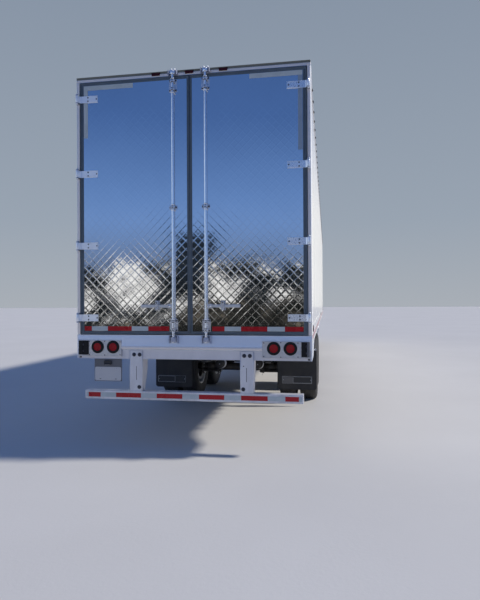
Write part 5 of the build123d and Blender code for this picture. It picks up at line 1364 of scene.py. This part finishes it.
# ---------------------------------------------------------------------------
# Inside
# ---------------------------------------------------------------------------
q = Shape()
for x in spread(-1.185, 1.185, 0.0593):
    q.box(x - 0.0175, x + 0.0175, y(0.145), y(15.98), 1.3145, 1.3190, 0.0012, 0)
q.box(-1.198, 1.198, y(0.112), y(0.144), 1.3145, 1.3200, 0.0015, 0)
q.make("floor_ribs", [M["t_floor"]], "root", "aluminium")
q = Shape()
for side, s in SIDES:
    q.box(s * 1.2195, s * 1.2255, y(0.205), y(16.04), 1.322, 1.640, 0.0012, 1)
    q.box(s * 1.2150, s * 1.2255, y(0.205), y(16.04), 1.6385, 1.6520, 0.0030, 1)
    for d in spread(0.26, 15.99, 0.1524):
        for z in (1.345, 1.620):
            q.rivet((s * 1.2195, y(d), z), (-s, 0, 0), 0.0052, 0.0026, 6, 1)
    for d in spread(0.20 + 1.2446, 14.95, 1.2192):
        q.box(s * 1.2235, s * 1.2255, y(d - 0.022), y(d + 0.022), 1.655, 3.985, 0.0008, 0)
    q.box(s * 1.1950, s * 1.2160, y(0.205), y(16.04), 3.962, 3.990, 0.0040, 0)
for d in spread(0.82, 15.4, 1.2192):
    q.box(-1.19, 1.19, y(d - 0.022), y(d + 0.022), 4.0380, 4.0400, 0.0008, 0)
# bulkhead with its return air opening, and the outlet above it
q.box(-1.18, 1.18, y(15.985), y(16.010), 1.420, 3.560, 0.006, 0)
for x in spread(-1.05, 1.05, 0.35):
    q.box(x - 0.06, x + 0.06, y(15.975), y(15.987), 1.60, 3.40, 0.004, 0)
for x in spread(-1.12, 1.12, 0.56):
    q.box(x - 0.025, x + 0.025, y(16.008), y(16.056), 1.32, 3.56, 0.003, 1)
q.box(-0.74, 0.74, y(15.80), y(16.056), 3.640, 3.980, 0.012, 0)
q.box(-0.70, 0.70, y(15.796), y(15.806), 3.670, 3.950, 0.0008, 2)
for z in spread(3.685, 3.935, 0.0357):
    q.box(-0.70, 0.70, y(15.785), y(15.800), z - 0.0022, z + 0.0022, 0.0008, 1)
q.make("inner_lining", [M["liner"], M["aluminium"], M["dark_plastic"]], "root", "white_panel")

# ---------------------------------------------------------------------------
# Floor and light
# ---------------------------------------------------------------------------
me = bpy.data.meshes.new("floor_stage")
me.from_pydata([(-150, -23, 0), (150, -23, 0), (150, 150, 0), (-150, 150, 0)], [], [(0, 1, 2, 3)])
stage = bpy.data.objects.new("floor_stage", me)
bpy.context.scene.collection.objects.link(stage)
mt, nt, b = new_mat("pale_floor")
vec = coords(nt)
nt.links.new(mix(nt, noise(nt, vec, 0.35, 6.0, 0.6), (0.60, 0.58, 0.55, 1), (0.70, 0.68, 0.65, 1)), b.inputs["Base Color"])
b.inputs["Roughness"].default_value = 0.85
nt.links.new(bump(nt, noise(nt, vec, 30.0, 6.0, 0.6), 0.3, 0.004), b.inputs["Normal"])
me.materials.append(mt)

world = bpy.data.worlds.new("studio")
bpy.context.scene.world = world
world.use_nodes = True
nt = world.node_tree
nt.nodes.clear()
tc = node(nt, "ShaderNodeTexCoord")
xyz = node(nt, "ShaderNodeSeparateXYZ", {"Vector": tc.outputs["Generated"]})
up_t = mapr(nt, xyz.outputs[2], 0.0, 0.8, 0, 1)
# soft dome: deep blue overhead, paler lower down
sky = ramp(nt, up_t, [(0.0, (0.33, 0.46, 0.72, 1)), (0.14, (0.245, 0.420, 0.80, 1)), (0.24, (0.180, 0.340, 0.71, 1)), (0.42, (0.084, 0.185, 0.47, 1)),
                      (0.6, (0.072, 0.155, 0.40, 1)), (1.0, (0.07, 0.14, 0.36, 1))])
# paler towards the horizon ahead, past the nose
ahead = node(nt, "ShaderNodeMath", {0: mapr(nt, xyz.outputs[1], 0.25, 0.85, 0, 1), 1: mapr(nt, xyz.outputs[2], 0.02, 0.30, 1, 0)},
             operation="MULTIPLY", use_clamp=True).outputs[0]
sky = mix(nt, ahead, sky, (0.80, 0.84, 0.88, 1))
dead = node(nt, "ShaderNodeMath", {0: mapr(nt, xyz.outputs[1], 0.74, 0.92, 0, 1), 1: mapr(nt, xyz.outputs[2], 0.16, 0.42, 1, 0)},
            operation="MULTIPLY", use_clamp=True).outputs[0]
sky = mix(nt, dead, sky, (1.02, 1.02, 1.00, 1))
# haze above the horizon behind
haze = mapr(nt, xyz.outputs[2], 0.065, 0.150, 0.75, 0)
sky = mix(nt, node(nt, "ShaderNodeMath", {0: haze, 1: mapr(nt, xyz.outputs[1], -0.3, -0.8, 0, 1)}, operation="MULTIPLY", use_clamp=True).outputs[0],
          sky, (0.150, 0.205, 0.330, 1))
# low down behind the camera, soft dark screens and pale boards that the mirror doors pick up
flat = node(nt, "ShaderNodeMapping", {"Vector": tc.outputs["Generated"], "Scale": (9.0, 9.0, 14.0), "Location": (0.35, 0.0, 0.10)}).outputs[0]
boards = mapr(nt, noise(nt, flat, 1.9, 6.0, 0.66), 0.43, 0.57, 0, 1)
gaps = mapr(nt, noise(nt, flat, 5.5, 4.0, 0.55), 0.40, 0.56, 0.56, 1.0)
boards = node(nt, "ShaderNodeMath", {0: boards, 1: gaps}, operation="MULTIPLY", use_clamp=True).outputs[0]
low = ramp(nt, boards, [(0.0, (0.010, 0.013, 0.016, 1)), (0.40, (0.030, 0.036, 0.040, 1)), (0.47, (0.120, 0.140, 0.180, 1)),
                        (0.55, (0.170, 0.180, 0.210, 1)), (0.61, (0.740, 0.720, 0.690, 1)), (1.0, (1.300, 1.280, 1.240, 1))])
# darker and browner towards the floor
earth = ramp(nt, mapr(nt, noise(nt, flat, 2.6, 4.0, 0.6), 0.40, 0.62, 0, 1), [(0.0, (0.010, 0.012, 0.012, 1)), (0.55, (0.028, 0.028, 0.026, 1)),
                                                                            (0.80, (0.080, 0.072, 0.060, 1)), (1.0, (0.210, 0.185, 0.145, 1))])
foot = node(nt, "ShaderNodeMath", {0: xyz.outputs[2], 1: mapr(nt, noise(nt, flat, 1.1, 3.0, 0.5), 0.35, 0.65, -0.022, 0.022)},
            operation="ADD").outputs[0]
foot = node(nt, "ShaderNodeMath", {0: foot, 1: mapr(nt, xyz.outputs[0], -0.30, -0.23, 0.016, -0.030)}, operation="ADD").outputs[0]
foot = mapr(nt, foot, -0.032, -0.016, 0.0, 1.0)
low = mix(nt, foot, earth, low)
edge_n = node(nt, "ShaderNodeMath", {0: xyz.outputs[2], 1: mapr(nt, noise(nt, flat, 0.8, 5.0, 0.62), 0.35, 0.65, -0.030, 0.030)}, operation="SUBTRACT").outputs[0]
band = mapr(nt, edge_n, 0.066, 0.078, 1, 0)
behind = mapr(nt, xyz.outputs[1], -0.45, -0.80, 0, 1)
fac = node(nt, "ShaderNodeMath", {0: band, 1: behind}, operation="MULTIPLY", use_clamp=True).outputs[0]
seen = mix(nt, fac, sky, low)
# one tall dark screen behind the camera
off = node(nt, "ShaderNodeMath", {0: node(nt, "ShaderNodeMath", {0: xyz.outputs[0], 1: 0.255}, operation="ADD").outputs[0]}, operation="ABSOLUTE").outputs[0]
off = node(nt, "ShaderNodeMath", {0: off, 1: mapr(nt, noise(nt, flat, 3.0, 4.0, 0.6), 0.3, 0.7, -0.014, 0.014)}, operation="ADD").outputs[0]
tall = node(nt, "ShaderNodeMath", {0: mapr(nt, off, 0.030, 0.040, 1, 0), 1: mapr(nt, xyz.outputs[2], 0.122, 0.138, 1, 0)}, operation="MULTIPLY", use_clamp=True).outputs[0]
tall = node(nt, "ShaderNodeMath", {0: tall, 1: mapr(nt, xyz.outputs[2], 0.020, 0.060, 0, 1)}, operation="MULTIPLY", use_clamp=True).outputs[0]
tall = node(nt, "ShaderNodeMath", {0: tall, 1: behind}, operation="MULTIPLY", use_clamp=True).outputs[0]
seen = mix(nt, tall, seen, (0.020, 0.028, 0.040, 1))
board = node(nt, "ShaderNodeMath", {0: mapr(nt, xyz.outputs[0], -0.54, -0.64, 0, 1), 1: mapr(nt, xyz.outputs[0], -0.90, -0.95, 1, 0)},
             operation="MULTIPLY", use_clamp=True).outputs[0]
board = node(nt, "ShaderNodeMath", {0: board, 1: mapr(nt, xyz.outputs[2], 0.30, 0.42, 1, 0)}, operation="MULTIPLY", use_clamp=True).outputs[0]
board = node(nt, "ShaderNodeMath", {0: board, 1: mapr(nt, xyz.outputs[1], -0.10, -0.20, 0, 1)}, operation="MULTIPLY", use_clamp=True).outputs[0]
board = node(nt, "ShaderNodeMath", {0: board, 1: mapr(nt, xyz.outputs[2], -0.09, -0.05, 0, 1)}, operation="MULTIPLY", use_clamp=True).outputs[0]
seen = mix(nt, board, seen, (0.92, 1.08, 1.32, 1))
pale = ramp(nt, mapr(nt, xyz.outputs[2], -0.05, 0.75, 0, 1), [(0.0, (0.47, 0.50, 0.54, 1)), (0.25, (0.36, 0.42, 0.50, 1)), (1.0, (0.22, 0.28, 0.38, 1))])
lp = node(nt, "ShaderNodeLightPath")
col = mix(nt, lp.outputs["Is Camera Ray"], seen, pale)
bg = node(nt, "ShaderNodeBackground", {"Color": col, "Strength": 0.88})
nt.links.new(bg.outputs[0], node(nt, "ShaderNodeOutputWorld").inputs[0])

sun = bpy.data.lights.new("key", "SUN")
sun.energy, sun.angle, sun.color = 3.2, math.radians(4), (1.0, 0.96, 0.89)
so = bpy.data.objects.new("key", sun)
so.rotation_mode = "QUATERNION"
so.rotation_quaternion = Vector((-0.80, -0.14, -0.64)).to_track_quat("-Z", "Y")
bpy.context.scene.collection.objects.link(so)
bpy.context.scene.view_settings.view_transform = "Standard"
